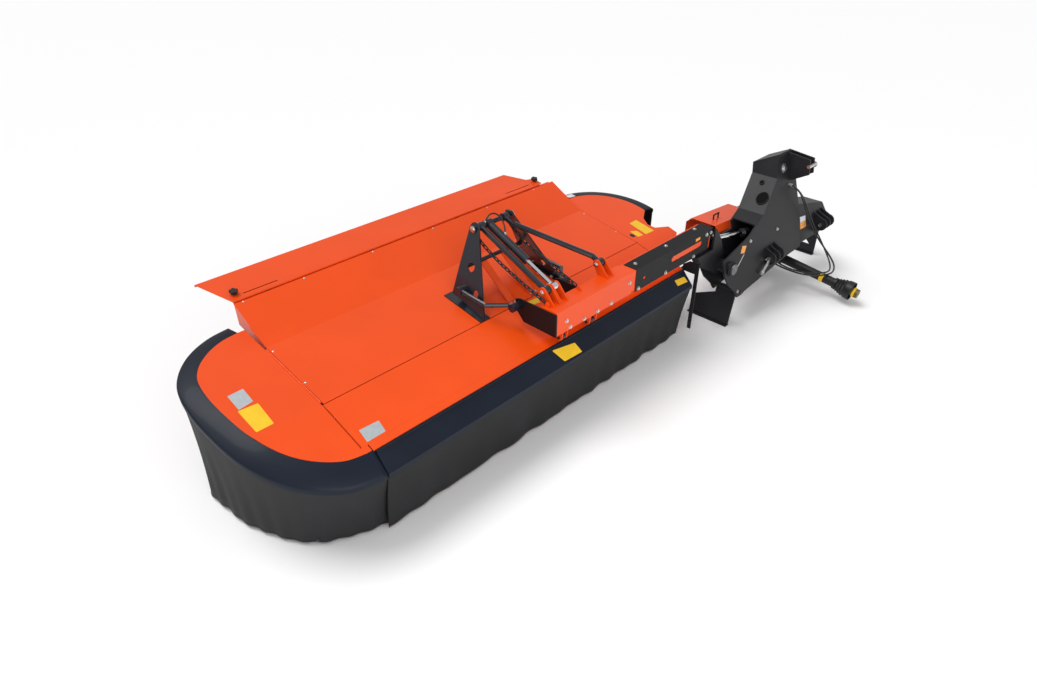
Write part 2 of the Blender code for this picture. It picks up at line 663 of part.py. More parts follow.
def cross_pin(x0, x1, y, z, radius):
    return rod((x0, y, z), (x1, y, z), radius, sides=16)


EYE_R = 0.034
EYE_W = 0.050
PIN_R = 0.014
CHEEK_T = 0.010
upper_pin = (UPPER_PIN_Y, UPPER_PIN_Z)
cylinder_x = TOWER_X - 0.045
upper_lug = lug((-0.35, ARM_Z[1] - 0.01), (ARM_Y[1] - 0.001, ARM_Z[1] - 0.02), upper_pin, EYE_R)
beam = [box(BOX_X, ARM_Y, ARM_Z)]
beam_inner = 0.015
beam_face = ARM_Y[0] + 0.001
beam_top_z = ARM_Z[1] - 0.001
beam.append(box((BOX_X[1] - 0.01, ARM_END_X), (beam_face, ARM_Y[1] - beam_inner), (ARM_Z[0] + beam_inner, beam_top_z)))
for x in (*UPPER_PIN_X, cylinder_x):
    half = EYE_W / 2 + FIT
    for sign in (-1, 1):
        beam.append(side_plate([upper_lug], x + sign * half, x + sign * (half + CHEEK_T)))
    beam.append(cross_pin(x - half - CHEEK_T - 0.008, x + half + CHEEK_T + 0.008, *upper_pin, PIN_R))
node("arm_beam", ORANGE, "arm", beam)
cover_front = beam_face - FIT - COVER_T
cover_top = beam_top_z + FIT + COVER_T
cover_x = (BOX_X[1] + 0.04, COVER_END_X)
cover_line = [(ARM_Y[1] - 0.03, cover_top), (cover_front, cover_top), (cover_front, ARM_Z[0] - 0.004)]
cover = sheet([[(x, y, z) for x in cover_x] for y, z in cover_line[::-1]], COVER_T)
cover_notch = box((COVER_END_X - 0.045, COVER_END_X + 0.02), (cover_front - 0.02, cover_front + 0.05), (0.775, 0.885))
node("arm_cover", DARK, "arm", [cover], [cover_notch])
end_line = [(ARM_Y[0] - 0.004, ARM_Z[0] - 0.004), (-0.10, ARM_Z[0] - 0.004), (-0.02, ARM_Z[0] + 0.08)]
end_line += [(LOWER_PIN_Y + 0.04, LOWER_PIN_Z + 0.03), (LOWER_PIN_Y, LOWER_PIN_Z + 0.045), (ARM_Y[0] - 0.004, ARM_Z[1] - 0.01)]
END_T = 0.012
END_BOSS = 0.030
end_x = BOX_X[0] - FIT - END_T
end_boss = cross_pin(end_x - END_BOSS, end_x + 0.002, LOWER_PIN_Y, LOWER_PIN_Z, 0.028)
node("arm_end_plate_left", DARK, "arm", [side_plate([end_line], end_x, end_x + END_T), end_boss])
end_right_line = [(y, z) for y, z in end_line if y > -0.30]
end_right_line += [(ARM_Y[1] + FIT, ARM_Z[1] - 0.02), (ARM_Y[1] + FIT, ARM_Z[0])]
end_mirror = 2 * TOWER_X - end_x
end_boss = cross_pin(end_mirror - 0.002, end_mirror + END_BOSS, LOWER_PIN_Y, LOWER_PIN_Z, 0.028)
node("arm_end_plate_right", DARK, "arm", [side_plate([end_right_line], end_mirror - END_T, end_mirror), end_boss])
beam_low = ARM_Z[0] + beam_inner
knuckle_x = COVER_END_X + 0.003
web_top = ARM_Z[0] - 0.008
knuckle_line = [(knuckle_x, 0.93), (1.95, 0.93), (2.05, 0.80), (2.13, 0.64)] + arc(PIVOT, 0.085, 40, -130, 10)
knuckle_line += [(1.98, 0.52), (1.80, 0.62), (1.70, web_top), (knuckle_x, web_top)]
hub_ends = [(PIVOT[0], y, PIVOT[1]) for y in (KNUCKLE_Y[0] - 0.1, KNUCKLE_Y[1] + 0.1)]
hub_bore = rod(*hub_ends, running_bore(PIVOT_R))
EYE_SLOT = 0.045
slot = box((ARM_END_X + 0.001, 2.30), (LIFT_Y - EYE_SLOT / 2, LIFT_Y + EYE_SLOT / 2), (0.70, 1.0))
tongue_y = (ARM_Y[0] + 0.005, KNUCKLE_Y[1])
tongue = [box((ARM_END_X + FIT, knuckle_x + 0.01), tongue_y, (web_top - 0.01, 0.92))]
tongue.append(box((1.72, knuckle_x), tongue_y, (web_top - 0.01, beam_low - FIT)))
node("arm_knuckle", CHARCOAL, "arm", [front_plate([knuckle_line], *KNUCKLE_Y), *tongue], [slot, hub_bore])

# Suspension tower, its two ties, and the links and cylinder to the arm
tower_rise = TOWER_TOP_Z - FOLD[1]
rise_unit = math.hypot(tower_rise, TOWER_BASE_HALF - TOWER_TOP_HALF) / tower_rise


def up_tower(z):
    """Distance along a leaning tower plate for a height."""
    return (z - FOLD[1]) * rise_unit


FOOT_T = 0.008
foot_y = (TOWER_BASE_Y[0] - 0.012, TOWER_BASE_Y[1] + 0.012)
tower_line = [(y, up_tower(hood_z(y) + FOOT_T * 0.6)) for y in TOWER_BASE_Y[::-1]]
tower_line = [(tower_line[1]), (tower_line[0]), (TOWER_BASE_Y[1] + 0.005, up_tower(1.05))]
tower_line += arc((TOWER_TOP_Y, up_tower(TOWER_TOP_Z)), 0.045, 0, 170, 8)
holes = [circle((0.345, up_tower(1.05)), 0.035), circle((0.235, up_tower(0.90)), 0.028), circle((0.36, up_tower(0.88)), 0.025)]
tower = []
for sign in (-1, 1):
    foot = (TOWER_X + sign * TOWER_BASE_HALF, 0, FOLD[1])
    lean = (sign * (TOWER_TOP_HALF - TOWER_BASE_HALF), 0, tower_rise)
    tower.append(plate([tower_line, *holes], foot, (0, 1, 0), lean, -TOWER_T / 2, TOWER_T / 2))
    foot_x = (foot[0] - 0.045, foot[0] + 0.045)
    tower.append(sheet(across(*foot_x, [(y, hood_z(y) + FIT * 1.1 + FOOT_T * 1.02) for y in foot_y]), FOOT_T))
TOWER_PIN_R = 0.018
top_x = (TOWER_X - TOWER_TOP_HALF - 0.02, TOWER_X + TOWER_TOP_HALF + 0.02)
tower.append(cross_pin(*top_x, TOWER_TOP_Y, TOWER_TOP_Z, TOWER_PIN_R))
low_half = TOWER_BASE_HALF - (1.02 - FOLD[1]) / tower_rise * (TOWER_BASE_HALF - TOWER_TOP_HALF)
tower.append(cross_pin(TOWER_X - low_half, TOWER_X + low_half, TOWER_BASE_Y[1] - 0.03, 1.02, 0.016))
lower_half = TOWER_BASE_HALF - (LOWER_REAR[1] - FOLD[1]) / tower_rise * (TOWER_BASE_HALF - TOWER_TOP_HALF)
LOWER_BOSS = 0.022
for sign in (-1, 1):
    inner = TOWER_X + sign * (lower_half - 0.008)
    tower.append(cross_pin(*sorted((inner, inner + sign * (0.008 + LOWER_BOSS))), *LOWER_REAR, EYE_R * 0.8))
node("suspension_tower", DARK, "arm", tower)


def link(start, end, radius, bores, straights=(0.075, 0.075)):
    """A tube with an eye at each end, straight at the eyes; bores gives the radius of each hole, or None."""
    start, end = Vector(start), Vector(end)
    way = Vector((0, end.y - start.y, end.z - start.z)).normalized()
    pieces = [tube([start, start + way * straights[0], end - way * straights[1], end], radius)]
    cuts = []
    for (x, y, z), bore in zip((start, end), bores):
        pieces.append(cross_pin(x - EYE_W / 2, x + EYE_W / 2, y, z, EYE_R * 0.9))
        if bore:
            cuts.append(cross_pin(x - EYE_W, x + EYE_W, y, z, bore + FIT))
    return pieces, cuts


for side, x0, x1 in (("left", UPPER_PIN_X[0], UPPER_PIN_X[0]), ("right", 2 * TOWER_X - UPPER_PIN_X[0], UPPER_PIN_X[1])):
    pieces, cuts = link((x0, TOWER_TOP_Y, TOWER_TOP_Z), (x1, *upper_pin), LINK_R, (TOWER_PIN_R, PIN_R))
    node("upper_link_" + side, BLACK, "arm", pieces, cuts)
for side, sign in (("left", -1), ("right", 1)):
    rear_x = TOWER_X + sign * (lower_half + LOWER_BOSS + FIT + EYE_W / 2)
    front_x = TOWER_X + sign * (TOWER_X - end_x + END_BOSS + FIT + EYE_W / 2)
    ends = ((rear_x, *LOWER_REAR), (front_x, LOWER_PIN_Y, LOWER_PIN_Z))
    pieces, cuts = link(*ends, LINK_R * 0.8, (None, None), (0.26, 0.04))
    node("lower_link_" + side, BLACK, "arm", pieces)
cylinder_top = Vector((cylinder_x, TOWER_TOP_Y, TOWER_TOP_Z))
cylinder_foot = Vector((cylinder_x, *upper_pin))
cylinder_run = (cylinder_foot - cylinder_top).normalized()
BARREL_R = 0.032
barrel_end = cylinder_top + cylinder_run * 0.42
barrel = [rod(cylinder_top + cylinder_run * 0.028, barrel_end, BARREL_R)]
barrel.append(cross_pin(cylinder_x - EYE_W / 2, cylinder_x + EYE_W / 2, TOWER_TOP_Y, TOWER_TOP_Z, EYE_R * 0.9))
barrel_bore = cross_pin(cylinder_x - EYE_W, cylinder_x + EYE_W, TOWER_TOP_Y, TOWER_TOP_Z, TOWER_PIN_R + FIT)
node("suspension_cylinder", BLACK, "arm", barrel, [barrel_bore])
piston = [rod(barrel_end + cylinder_run * FIT, cylinder_foot - cylinder_run * 0.02, BARREL_R * 0.5)]
piston.append(cross_pin(cylinder_x - EYE_W / 2, cylinder_x + EYE_W / 2, *upper_pin, EYE_R * 0.9))
piston_bore = cross_pin(cylinder_x - EYE_W, cylinder_x + EYE_W, *upper_pin, PIN_R + FIT)
node("suspension_rod", BRIGHT, "arm", piston, [piston_bore])
for side, sign in (("left", -1), ("right", 1)):
    start = (TOWER_X + sign * 0.105, TOWER_BASE_Y[0] + 0.03, hood_z(TOWER_BASE_Y[0] + 0.03) + 0.013)
    end = (TOWER_X + sign * 0.105, TOWER_BASE_Y[1] - 0.05, 1.02 - 0.06)
    tie = [tube([start, end], 0.014)]
    tie.append(sheet(across(start[0] - 0.03, start[0] + 0.03, [(y, hood_z(y) + FIT * 1.1 + FOOT_T * 1.02) for y in (start[1] - 0.03, start[1] + 0.03)]), FOOT_T))
    node("tower_tie_" + side, ORANGE, "arm", tie)


# Headstock, whose plates all lean back alike
def front_y(z, depth=0.0):
    """Distance along Y of a plane that lies depth behind the headstock's front face."""
    return PLATE_Y + LEAN * (z - PIVOT[1]) + depth


def head_plate(loops, near, far):
    """Outlines of (x, z) points on the headstock's leaning face, between two depths behind it."""
    made = front_plate(loops, near, far)
    made.data.transform(Matrix(((1, 0, 0, 0), (0, 1, LEAN, front_y(0)), (0, 0, 1, 0), (0, 0, 0, 1))))
    return made


def along_y(x, z, y0, y1, radius, sides=20):
    return rod((x, y0, z), (x, y1, z), radius, sides=sides)


HEAD_LINE = [(1.965, 0.648), (1.964, 0.529), (2.001, 0.438), (2.088, 0.35), (2.115, 0.295), (2.195, 0.295), (2.245, 0.306)]
HEAD_LINE += [(2.573, 0.331), (2.787, 0.349), (2.979, 0.364), (3.300, 0.37), (3.340, 0.60), (3.316, 0.992)]
HEAD_LINE += [(3.290, 1.24), (3.240, 1.29), (3.043, 1.29), (2.967, 1.079), (2.678, 0.84), (2.426, 0.736), (2.34, 0.715)]
cavity_line = [(1.90, 0.68), (1.90, 0.20), (2.30, 0.20), (2.30, 0.318), (2.573, 0.343), (2.787, 0.361), (2.979, 0.376)]
cavity_line += [(3.290, 0.382), (3.328, 0.60), (3.304, 0.992), (3.278, 1.235), (3.236, 1.278), (3.052, 1.278)]
cavity_line += [(2.975, 1.068), (2.682, 0.828), (2.55, 0.775), (2.55, 0.85), (2.20, 0.85)]
head = [head_plate([HEAD_LINE], 0, HEAD_DEPTH)]
back_cut = [(2.15, 0.705), (2.15, 1.0), (2.52, 1.0), (2.52, 0.705)]
oval = arc((2.775, 0.70), (0.055, 0.10), 0, 345, 23)
head_cuts = [head_plate([cavity_line], PLATE_T, HEAD_DEPTH - PLATE_T), head_plate([back_cut], HEAD_DEPTH - 0.03, HEAD_DEPTH + 0.03)]
BUSH_R = 0.055
bush_front = front_y(PIVOT[1] - BUSH_R) - 0.010
bush_back = front_y(PIVOT[1] + BUSH_R, HEAD_DEPTH) + 0.01
head_tail = [
    along_y(*PIVOT, bush_front, KNUCKLE_Y[0] - FIT, BUSH_R),
    along_y(*PIVOT, KNUCKLE_Y[1] + FIT, bush_back, BUSH_R),
]
clevis = [(-0.297, 1.26), (-0.56, 1.232), (-0.577, 1.099), (-0.444, 1.022), (front_y(1.0) + 0.03, 1.0), (-0.30, 1.05)]
clevis_half = EAR_GAP / 2
for sign in (-1, 1):
    x0 = TOP_PIN[0] + sign * clevis_half
    head_tail.append(side_plate([clevis], x0, x0 + sign * EAR_T))
ear = lug((-0.50, 0.36), (-0.47, 0.60), (HITCH_Y, HITCH_Z), 0.062)
for x in HITCH_X:
    for k in (-1, 0, 1):
        middle = x + k * (EAR_GAP + EAR_T)
        head_tail.append(side_plate([ear], middle - EAR_T / 2, middle + EAR_T / 2))
beam_line = [(3.325, 0.75), (3.88, 0.625), (3.945, 0.52), (3.945, 0.36), (3.295, 0.372), (3.334, 0.60)]
head_tail.append(head_plate([beam_line], 0.03, HEAD_DEPTH - 0.02))
stand_y = (-0.50, -0.20)
stand_r = 0.020
far_lug = lug((3.93, 0.44), (3.93, 0.362), STAND_HINGE_FAR, stand_r * 1.3)
for y0, y1 in ((stand_y[0] - 0.014, stand_y[0] - FIT), (stand_y[1] + FIT, stand_y[1] + 0.014)):
    head_tail.append(front_plate([far_lug], y0, y1))
head_tail.append(box((3.925, 3.943), (stand_y[0] - 0.016, stand_y[1] + 0.016), (0.361, 0.441)))
pivot_bore = along_y(*PIVOT, -1, 0, PIVOT_R + FIT)
hitch_bores = [cross_pin(x - 0.2, x + 0.2, HITCH_Y, HITCH_Z, HITCH_PIN_R + FIT) for x in HITCH_X]
top_bore = cross_pin(TOP_PIN[0] - 0.2, TOP_PIN[0] + 0.2, *TOP_PIN[1:], TOP_PIN_R + FIT)
anchor_bosses = [
    along_y(*LIFT_ANCHOR, front_y(LIFT_ANCHOR[1] + 0.03) + 0.003, LIFT_Y - 0.025 - FIT, 0.03),
    along_y(*LIFT_ANCHOR, LIFT_Y + 0.025 + FIT, front_y(LIFT_ANCHOR[1] - 0.03, HEAD_DEPTH) - 0.003, 0.03),
]
stand_bore = along_y(*STAND_HINGE_NEAR, -1, 0, 0.012 + FIT)
head_pieces = [*head, *head_tail, *anchor_bosses]
node("head_frame", CHARCOAL, "headstock", head_pieces, [pivot_bore, stand_bore, *hitch_bores, top_bore], head_cuts)

# Pins of the headstock
pin_head = 0.012
fold_pin = [along_y(*PIVOT, bush_front - pin_head / 2, bush_back + pin_head / 2, PIVOT_R)]
fold_pin.append(along_y(*PIVOT, bush_front - FIT - pin_head, bush_front - FIT, PIVOT_R + 0.014))
fold_pin.append(along_y(*PIVOT, bush_back + FIT, bush_back + FIT + pin_head, PIVOT_R + 0.014))
node("fold_pin", STEEL, "headstock", fold_pin)
for side, x in zip(("near", "far"), HITCH_X):
    reach = EAR_GAP + 1.5 * EAR_T + FIT
    hitch_pin = [cross_pin(x - reach - 0.02, x + reach + 0.005, HITCH_Y, HITCH_Z, HITCH_PIN_R)]
    hitch_pin.append(cross_pin(x + reach, x + reach + 0.01, HITCH_Y, HITCH_Z, HITCH_PIN_R + 0.010))
    node("lower_hitch_pin_" + side, STEEL, "headstock", hitch_pin)
reach = clevis_half + EAR_T + FIT
top_pin = [cross_pin(TOP_PIN[0] - reach - 0.02, TOP_PIN[0] + reach + 0.005, *TOP_PIN[1:], TOP_PIN_R)]
top_pin.append(cross_pin(TOP_PIN[0] + reach, TOP_PIN[0] + reach + 0.01, *TOP_PIN[1:], TOP_PIN_R + 0.010))
node("top_link_pin", STEEL, "headstock", top_pin)

# Drive: gearbox behind the headstock, the shaft across to the mower with its guard, and the mower's gearbox
GEAR_X = (3.08, 3.42)
GEAR_Z = (0.18, 0.62)
GEAR_FRONT = PTO_START[0] + 0.0153
gear_seat = 0.498
seat_gap = HEAD_DEPTH + 1.1 * FIT
gear_line = [(GEAR_FRONT, GEAR_Z[0]), (GEAR_FRONT, gear_seat), (front_y(gear_seat + 0.002, seat_gap), gear_seat + 0.002)]
gear_line += [(front_y(GEAR_Z[1], seat_gap), GEAR_Z[1]), (0.05, GEAR_Z[1]), (0.05, GEAR_Z[0])]
pto_start = Vector((PTO_X, *PTO_START))
pto_end = Vector((PTO_X, *PTO_END))
pto_run = (pto_end - pto_start).normalized()
PTO_MOUTH = 0.02
input_stub = rod(pto_start - pto_run * 0.05, pto_start + pto_run * (PTO_MOUTH - FIT), 0.05)
node("drive_gearbox", BLACK, "headstock", [side_plate([gear_line], *GEAR_X), input_stub])
stub = [ball((PIVOT[0], DRIVE_Y, PIVOT[1]), DRIVE_BALL_R), rod((PIVOT[0], DRIVE_Y, PIVOT[1]), (2.17, DRIVE_Y, PIVOT[1]), 0.02)]
stub.append(rod((2.16, DRIVE_Y, PIVOT[1]), (GEAR_X[0] - FIT, DRIVE_Y, PIVOT[1]), STUB_R))
node("drive_shaft_guard", BLACK, "headstock", stub)
guard_rows = []
for x, top in ((2.42, 0.72), (GEAR_X[0] - FIT, 0.665)):
    guard_rows.append([(x, y, z) for y, z in ((-0.20, 0.47), (-0.20, top - 0.05), (-0.15, top), (0.10, top), (0.15, top - 0.05), (0.15, 0.47))])
node("drive_guard", ORANGE, "headstock", [sheet([row[::-1] for row in guard_rows[::-1]][::-1], 0.004)])
node("mower_gearbox", BLACK, "arm", [box((SIDE_X + SIDE_T + FIT, 1.975), (-0.10, 0.15), (0.30, 0.68))])
cone = [rod((1.975 + FIT, DRIVE_Y, PIVOT[1]), (2.022, DRIVE_Y, PIVOT[1]), 0.095, 0.058)]
node("driveline_cone", BLACK, "arm", cone)

# Lift cylinder
anchor = Vector((LIFT_ANCHOR[0], LIFT_Y, LIFT_ANCHOR[1]))
eye = Vector((LIFT_EYE[0], LIFT_Y, LIFT_EYE[1]))
lift_run = (eye - anchor).normalized()
lift_mouth = anchor + lift_run * LIFT_BARREL_L
lift_barrel = [rod(anchor + lift_run * 0.036, lift_mouth, LIFT_BARREL_R, sides=24)]
lift_barrel.append(along_y(*LIFT_ANCHOR, LIFT_Y - 0.025, LIFT_Y + 0.025, 0.040))
lift_cut = [rod(lift_mouth - lift_run * 0.52, lift_mouth + lift_run * 0.1, LIFT_ROD_R + FIT)]
node("lift_barrel", BLACK, "lift_barrel", lift_barrel, lift_cut)
LIFT_EYE_W = 0.034
lift_rod = [rod(eye, lift_mouth - lift_run * 0.10, LIFT_ROD_R)]
lift_rod.append(along_y(*LIFT_EYE, LIFT_Y - LIFT_EYE_W / 2, LIFT_Y + LIFT_EYE_W / 2, 0.034))
node("lift_rod", BRIGHT, "lift_rod", lift_rod)

# Power take-off shaft in its guard
pto_length = (pto_end - pto_start).length
guard = [rod(pto_start + pto_run * PTO_MOUTH, pto_start + pto_run * (pto_length - 0.16), PTO_GUARD_R)]
guard.append(rod(pto_start + pto_run * PTO_MOUTH, pto_start + pto_run * 0.16, 0.085, 0.055, 24))
guard.append(rod(pto_start + pto_run * (pto_length - 0.30), pto_start + pto_run * (pto_length - 0.12), 0.055, 0.085, 24))
guard_cut = [rod(pto_start - pto_run * 0.1, pto_end, PTO_SHAFT_R + FIT)]
node("pto_guard", BLACK, "headstock", guard, guard_cut)
pto = [rod(pto_start + pto_run * PTO_MOUTH, pto_end - pto_run * 0.06, PTO_SHAFT_R)]
pto.append(rod(pto_end - pto_run * 0.09, pto_end, 0.042, sides=24))
node("pto_shaft", STEEL, "pto", pto)

# Parking stands
STAND_PIN_R = 0.012
near_y = (
    front_y(STAND_HINGE_NEAR[1] + stand_r, PLATE_T) + RUN,
    front_y(STAND_HINGE_NEAR[1] - stand_r, HEAD_DEPTH - PLATE_T) - RUN,
)
near_foot = (2.090, 0.0)
near_lean = (STAND_HINGE_NEAR[0] - near_foot[0], 0, STAND_HINGE_NEAR[1])
near_scale = math.hypot(near_lean[0], near_lean[2]) / near_lean[2]
web_back = near_y[1] - 2 * RUN
near_line = [(-0.60, 0.002), (-0.20, 0.002), (-0.20, 0.17), (web_back, 0.26), (web_back, 0.335), (near_y[0], 0.335)]
near_line += [(-0.60, 0.26)]
near_loops = [[(y, z * near_scale) for y, z in near_line]]
near = [plate(near_loops, (near_foot[0], 0, 0), (0, 1, 0), near_lean, -STAND_T / 2, STAND_T / 2)]
near.append(along_y(*STAND_HINGE_NEAR, *near_y, stand_r))
near.append(along_y(*STAND_HINGE_NEAR, near_y[0] - 0.05, near_y[1] + 0.05, STAND_PIN_R))
near.append(box((near_foot[0] - 0.03, near_foot[0] + 0.02), (-0.60, -0.20), (0, 0.012)))
node("stand_near", BLACK, "stand_near", near)
far_line = [(-0.50, 0.0), (-0.20, 0.0), (-0.20, 0.40), (-0.50, 0.40)]
far_hole = [(-0.44, 0.10), (-0.26, 0.10), (-0.26, 0.28)]
far = [side_plate([far_line, far_hole], STAND_HINGE_FAR[0] - STAND_T / 2, STAND_HINGE_FAR[0] + STAND_T / 2)]
far.append(along_y(*STAND_HINGE_FAR, *stand_y, stand_r))
far.append(box((STAND_HINGE_FAR[0] - 0.03, STAND_HINGE_FAR[0] + 0.02), stand_y, (0, 0.012)))
node("stand_far", BLACK, "stand_far", far)
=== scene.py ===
import math
import random

import bmesh
import bpy
import mathutils.geometry
from mathutils import Matrix, Vector


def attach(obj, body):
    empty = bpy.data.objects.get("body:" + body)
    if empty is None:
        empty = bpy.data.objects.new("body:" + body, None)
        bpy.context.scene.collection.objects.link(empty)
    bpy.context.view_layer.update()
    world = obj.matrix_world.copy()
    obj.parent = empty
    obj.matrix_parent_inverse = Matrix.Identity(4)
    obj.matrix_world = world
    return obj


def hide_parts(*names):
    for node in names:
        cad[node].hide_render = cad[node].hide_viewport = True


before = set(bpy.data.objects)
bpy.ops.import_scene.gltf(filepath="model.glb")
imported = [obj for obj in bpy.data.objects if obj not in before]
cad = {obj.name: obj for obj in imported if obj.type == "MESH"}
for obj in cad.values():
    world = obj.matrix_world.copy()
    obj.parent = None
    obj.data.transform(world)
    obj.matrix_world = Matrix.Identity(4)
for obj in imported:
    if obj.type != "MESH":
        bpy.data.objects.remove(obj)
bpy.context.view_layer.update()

# Camera and studio
# The photograph is taken from ahead of the outer end, a little above head height, over a plain
# white floor. A broad overhead light from behind throws the soft shadow forwards under the skirt,
# and a wide faint one in front lifts the upright faces.
camera = bpy.data.objects.new("camera", bpy.data.cameras.new("camera"))
bpy.context.scene.collection.objects.link(camera)
camera.location = (-3.043, -3.069, 3.393)
camera.rotation_mode = "QUATERNION"
look_yaw = Matrix.Rotation(math.radians(-45.948), 3, "Z")
look_pitch = Matrix.Rotation(math.radians(90 - 34.127), 3, "X")
look_roll = Matrix.Rotation(math.radians(0.134), 3, "Z")
camera.rotation_quaternion = (look_yaw @ look_pitch @ look_roll).to_quaternion()
camera.data.lens = 24.693
camera.data.sensor_width = 36
camera.data.shift_x = -0.00778
camera.data.shift_y = 0.00463
bpy.context.scene.camera = camera
bpy.context.scene.view_settings.view_transform = "Standard"

floor_mesh = bpy.data.meshes.new("floor")
floor_reach = 60.0
floor_z = -0.0006
corners = [(-1, -1), (1, -1), (1, 1), (-1, 1)]
floor_points = [(x * floor_reach, y * floor_reach, floor_z) for x, y in corners]
floor_mesh.from_pydata(floor_points, [], [(0, 1, 2, 3)])
floor = bpy.data.objects.new("floor", floor_mesh)
bpy.context.scene.collection.objects.link(floor)
floor_paint = bpy.data.materials.new("studio_floor")
floor_paint.use_nodes = True
floor_shader = floor_paint.node_tree.nodes["Principled BSDF"]
floor_shader.inputs["Base Color"].default_value = (0.96, 0.96, 0.96, 1)
floor_shader.inputs["Roughness"].default_value = 0.9
floor_mesh.materials.append(floor_paint)

world = bpy.data.worlds.new("studio")
bpy.context.scene.world = world
world.use_nodes = True
sky = world.node_tree
sky_light = sky.nodes["Background"]
sky_light.inputs["Color"].default_value = (1, 1, 1, 1)
sky_light.inputs["Strength"].default_value = 0.55
sky_seen = sky.nodes.new("ShaderNodeBackground")
sky_seen.inputs["Color"].default_value = (1, 1, 1, 1)
sky_seen.inputs["Strength"].default_value = 1.0
sky_path = sky.nodes.new("ShaderNodeLightPath")
sky_mix = sky.nodes.new("ShaderNodeMixShader")
sky.links.new(sky_path.outputs["Is Camera Ray"], sky_mix.inputs["Fac"])
sky.links.new(sky_light.outputs["Background"], sky_mix.inputs[1])
sky.links.new(sky_seen.outputs["Background"], sky_mix.inputs[2])
sky.links.new(sky_mix.outputs["Shader"], sky.nodes["World Output"].inputs["Surface"])

sun = bpy.data.objects.new("overhead", bpy.data.lights.new("overhead", "SUN"))
bpy.context.scene.collection.objects.link(sun)
sun.data.energy = 1.7
sun.data.angle = math.radians(35)
sun.rotation_mode = "QUATERNION"
sun.rotation_quaternion = Vector((-0.25, 0.45, 1.0)).to_track_quat("Z", "Y")
fill = bpy.data.objects.new("front_fill", bpy.data.lights.new("front_fill", "AREA"))
bpy.context.scene.collection.objects.link(fill)
fill.data.energy = 170.0
fill.data.size = 5.0
fill.location = (-2.6, -5.2, 2.6)
fill.rotation_mode = "QUATERNION"
fill.rotation_quaternion = (Vector(fill.location) - Vector((0.6, 0.0, 0.6))).to_track_quat("Z", "Y")

# Hydraulic hoses
# Black rubber hoses from the headstock to the tractor. They are looped up over the shaft guard for
# parking and run back to the drive housing; a short one feeds the suspension cylinder.
hose_rubber = bpy.data.materials.new("hose_rubber")
hose_rubber.use_nodes = True
rubber_tree = hose_rubber.node_tree
rubber_shader = rubber_tree.nodes["Principled BSDF"]
rubber_shader.inputs["Base Color"].default_value = (0.012, 0.012, 0.013, 1)
rubber_grain = rubber_tree.nodes.new("ShaderNodeTexNoise")
rubber_grain.inputs["Scale"].default_value = 60.0
rubber_gloss = rubber_tree.nodes.new("ShaderNodeMapRange")
rubber_gloss.inputs["To Min"].default_value = 0.35
rubber_gloss.inputs["To Max"].default_value = 0.60
rubber_tree.links.new(rubber_grain.outputs["Fac"], rubber_gloss.inputs["Value"])
rubber_tree.links.new(rubber_gloss.outputs["Result"], rubber_shader.inputs["Roughness"])


def smooth_line(points, steps):
    """A smooth line through points in the plane or in space, sampled steps times in each span."""
    ends = [Vector(p) for p in (points[0], *points, points[-1])]
    out = []
    for a, b, c, d in zip(ends, ends[1:], ends[2:], ends[3:]):
        square = 2 * a - 5 * b + 4 * c - d
        cube = 3 * b - a - 3 * c + d
        for i in range(steps):
            t = i / steps
            out.append(0.5 * (2 * b + (c - a) * t + square * t**2 + cube * t**3))
    return out + [ends[-1]]


def space_out(route, step):
    """Points at even steps along a route, from its start."""
    even, run = [route[0]], 0.0
    for a, b in zip(route, route[1:]):
        while run + (b - a).length >= step:
            a = a.lerp(b, (step - run) / (b - a).length)
            even.append(a)
            run = 0.0
        run += (b - a).length
    return even


def ease(route, step=0.02, passes=12):
    """The route with evenly spaced points and its bends eased, its ends kept."""
    even = space_out(route, step)
    for _ in range(passes):
        between = [(a + 2 * b + c) / 4 for a, b, c in zip(even, even[1:], even[2:])]
        even = [even[0], *between, even[-1]]
    return even


def draw_tube(name, route, radius, fineness, material):
    """A round tube along a route, as a curve of one open spline with closed ends."""
    curve = bpy.data.curves.new(name, "CURVE")
    curve.dimensions = "3D"
    curve.bevel_depth = radius
    curve.bevel_resolution = fineness
    curve.use_fill_caps = True
    spline = curve.splines.new("POLY")
    spline.points.add(len(route) - 1)
    for place, point in zip(spline.points, route):
        place.co = (*point, 1.0)
    curve.materials.append(material)
    tube = bpy.data.objects.new(name, curve)
    bpy.context.scene.collection.objects.link(tube)
    return tube


def lay_hose(name, body, points, radius):
    """A hose along a smooth line through the points."""
    route = ease(smooth_line(points, 5))
    hose = draw_tube(name, route, radius, 3, hose_rubber)
    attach(hose, body)


lean = 0.303
pivot_x, pivot_z = 2.068, 0.566


def face_y(z, depth=0.0):
    """Distance along Y of the headstock's leaning front face, or of a plane behind it."""
    return -0.550 + lean * (z - pivot_z) + depth


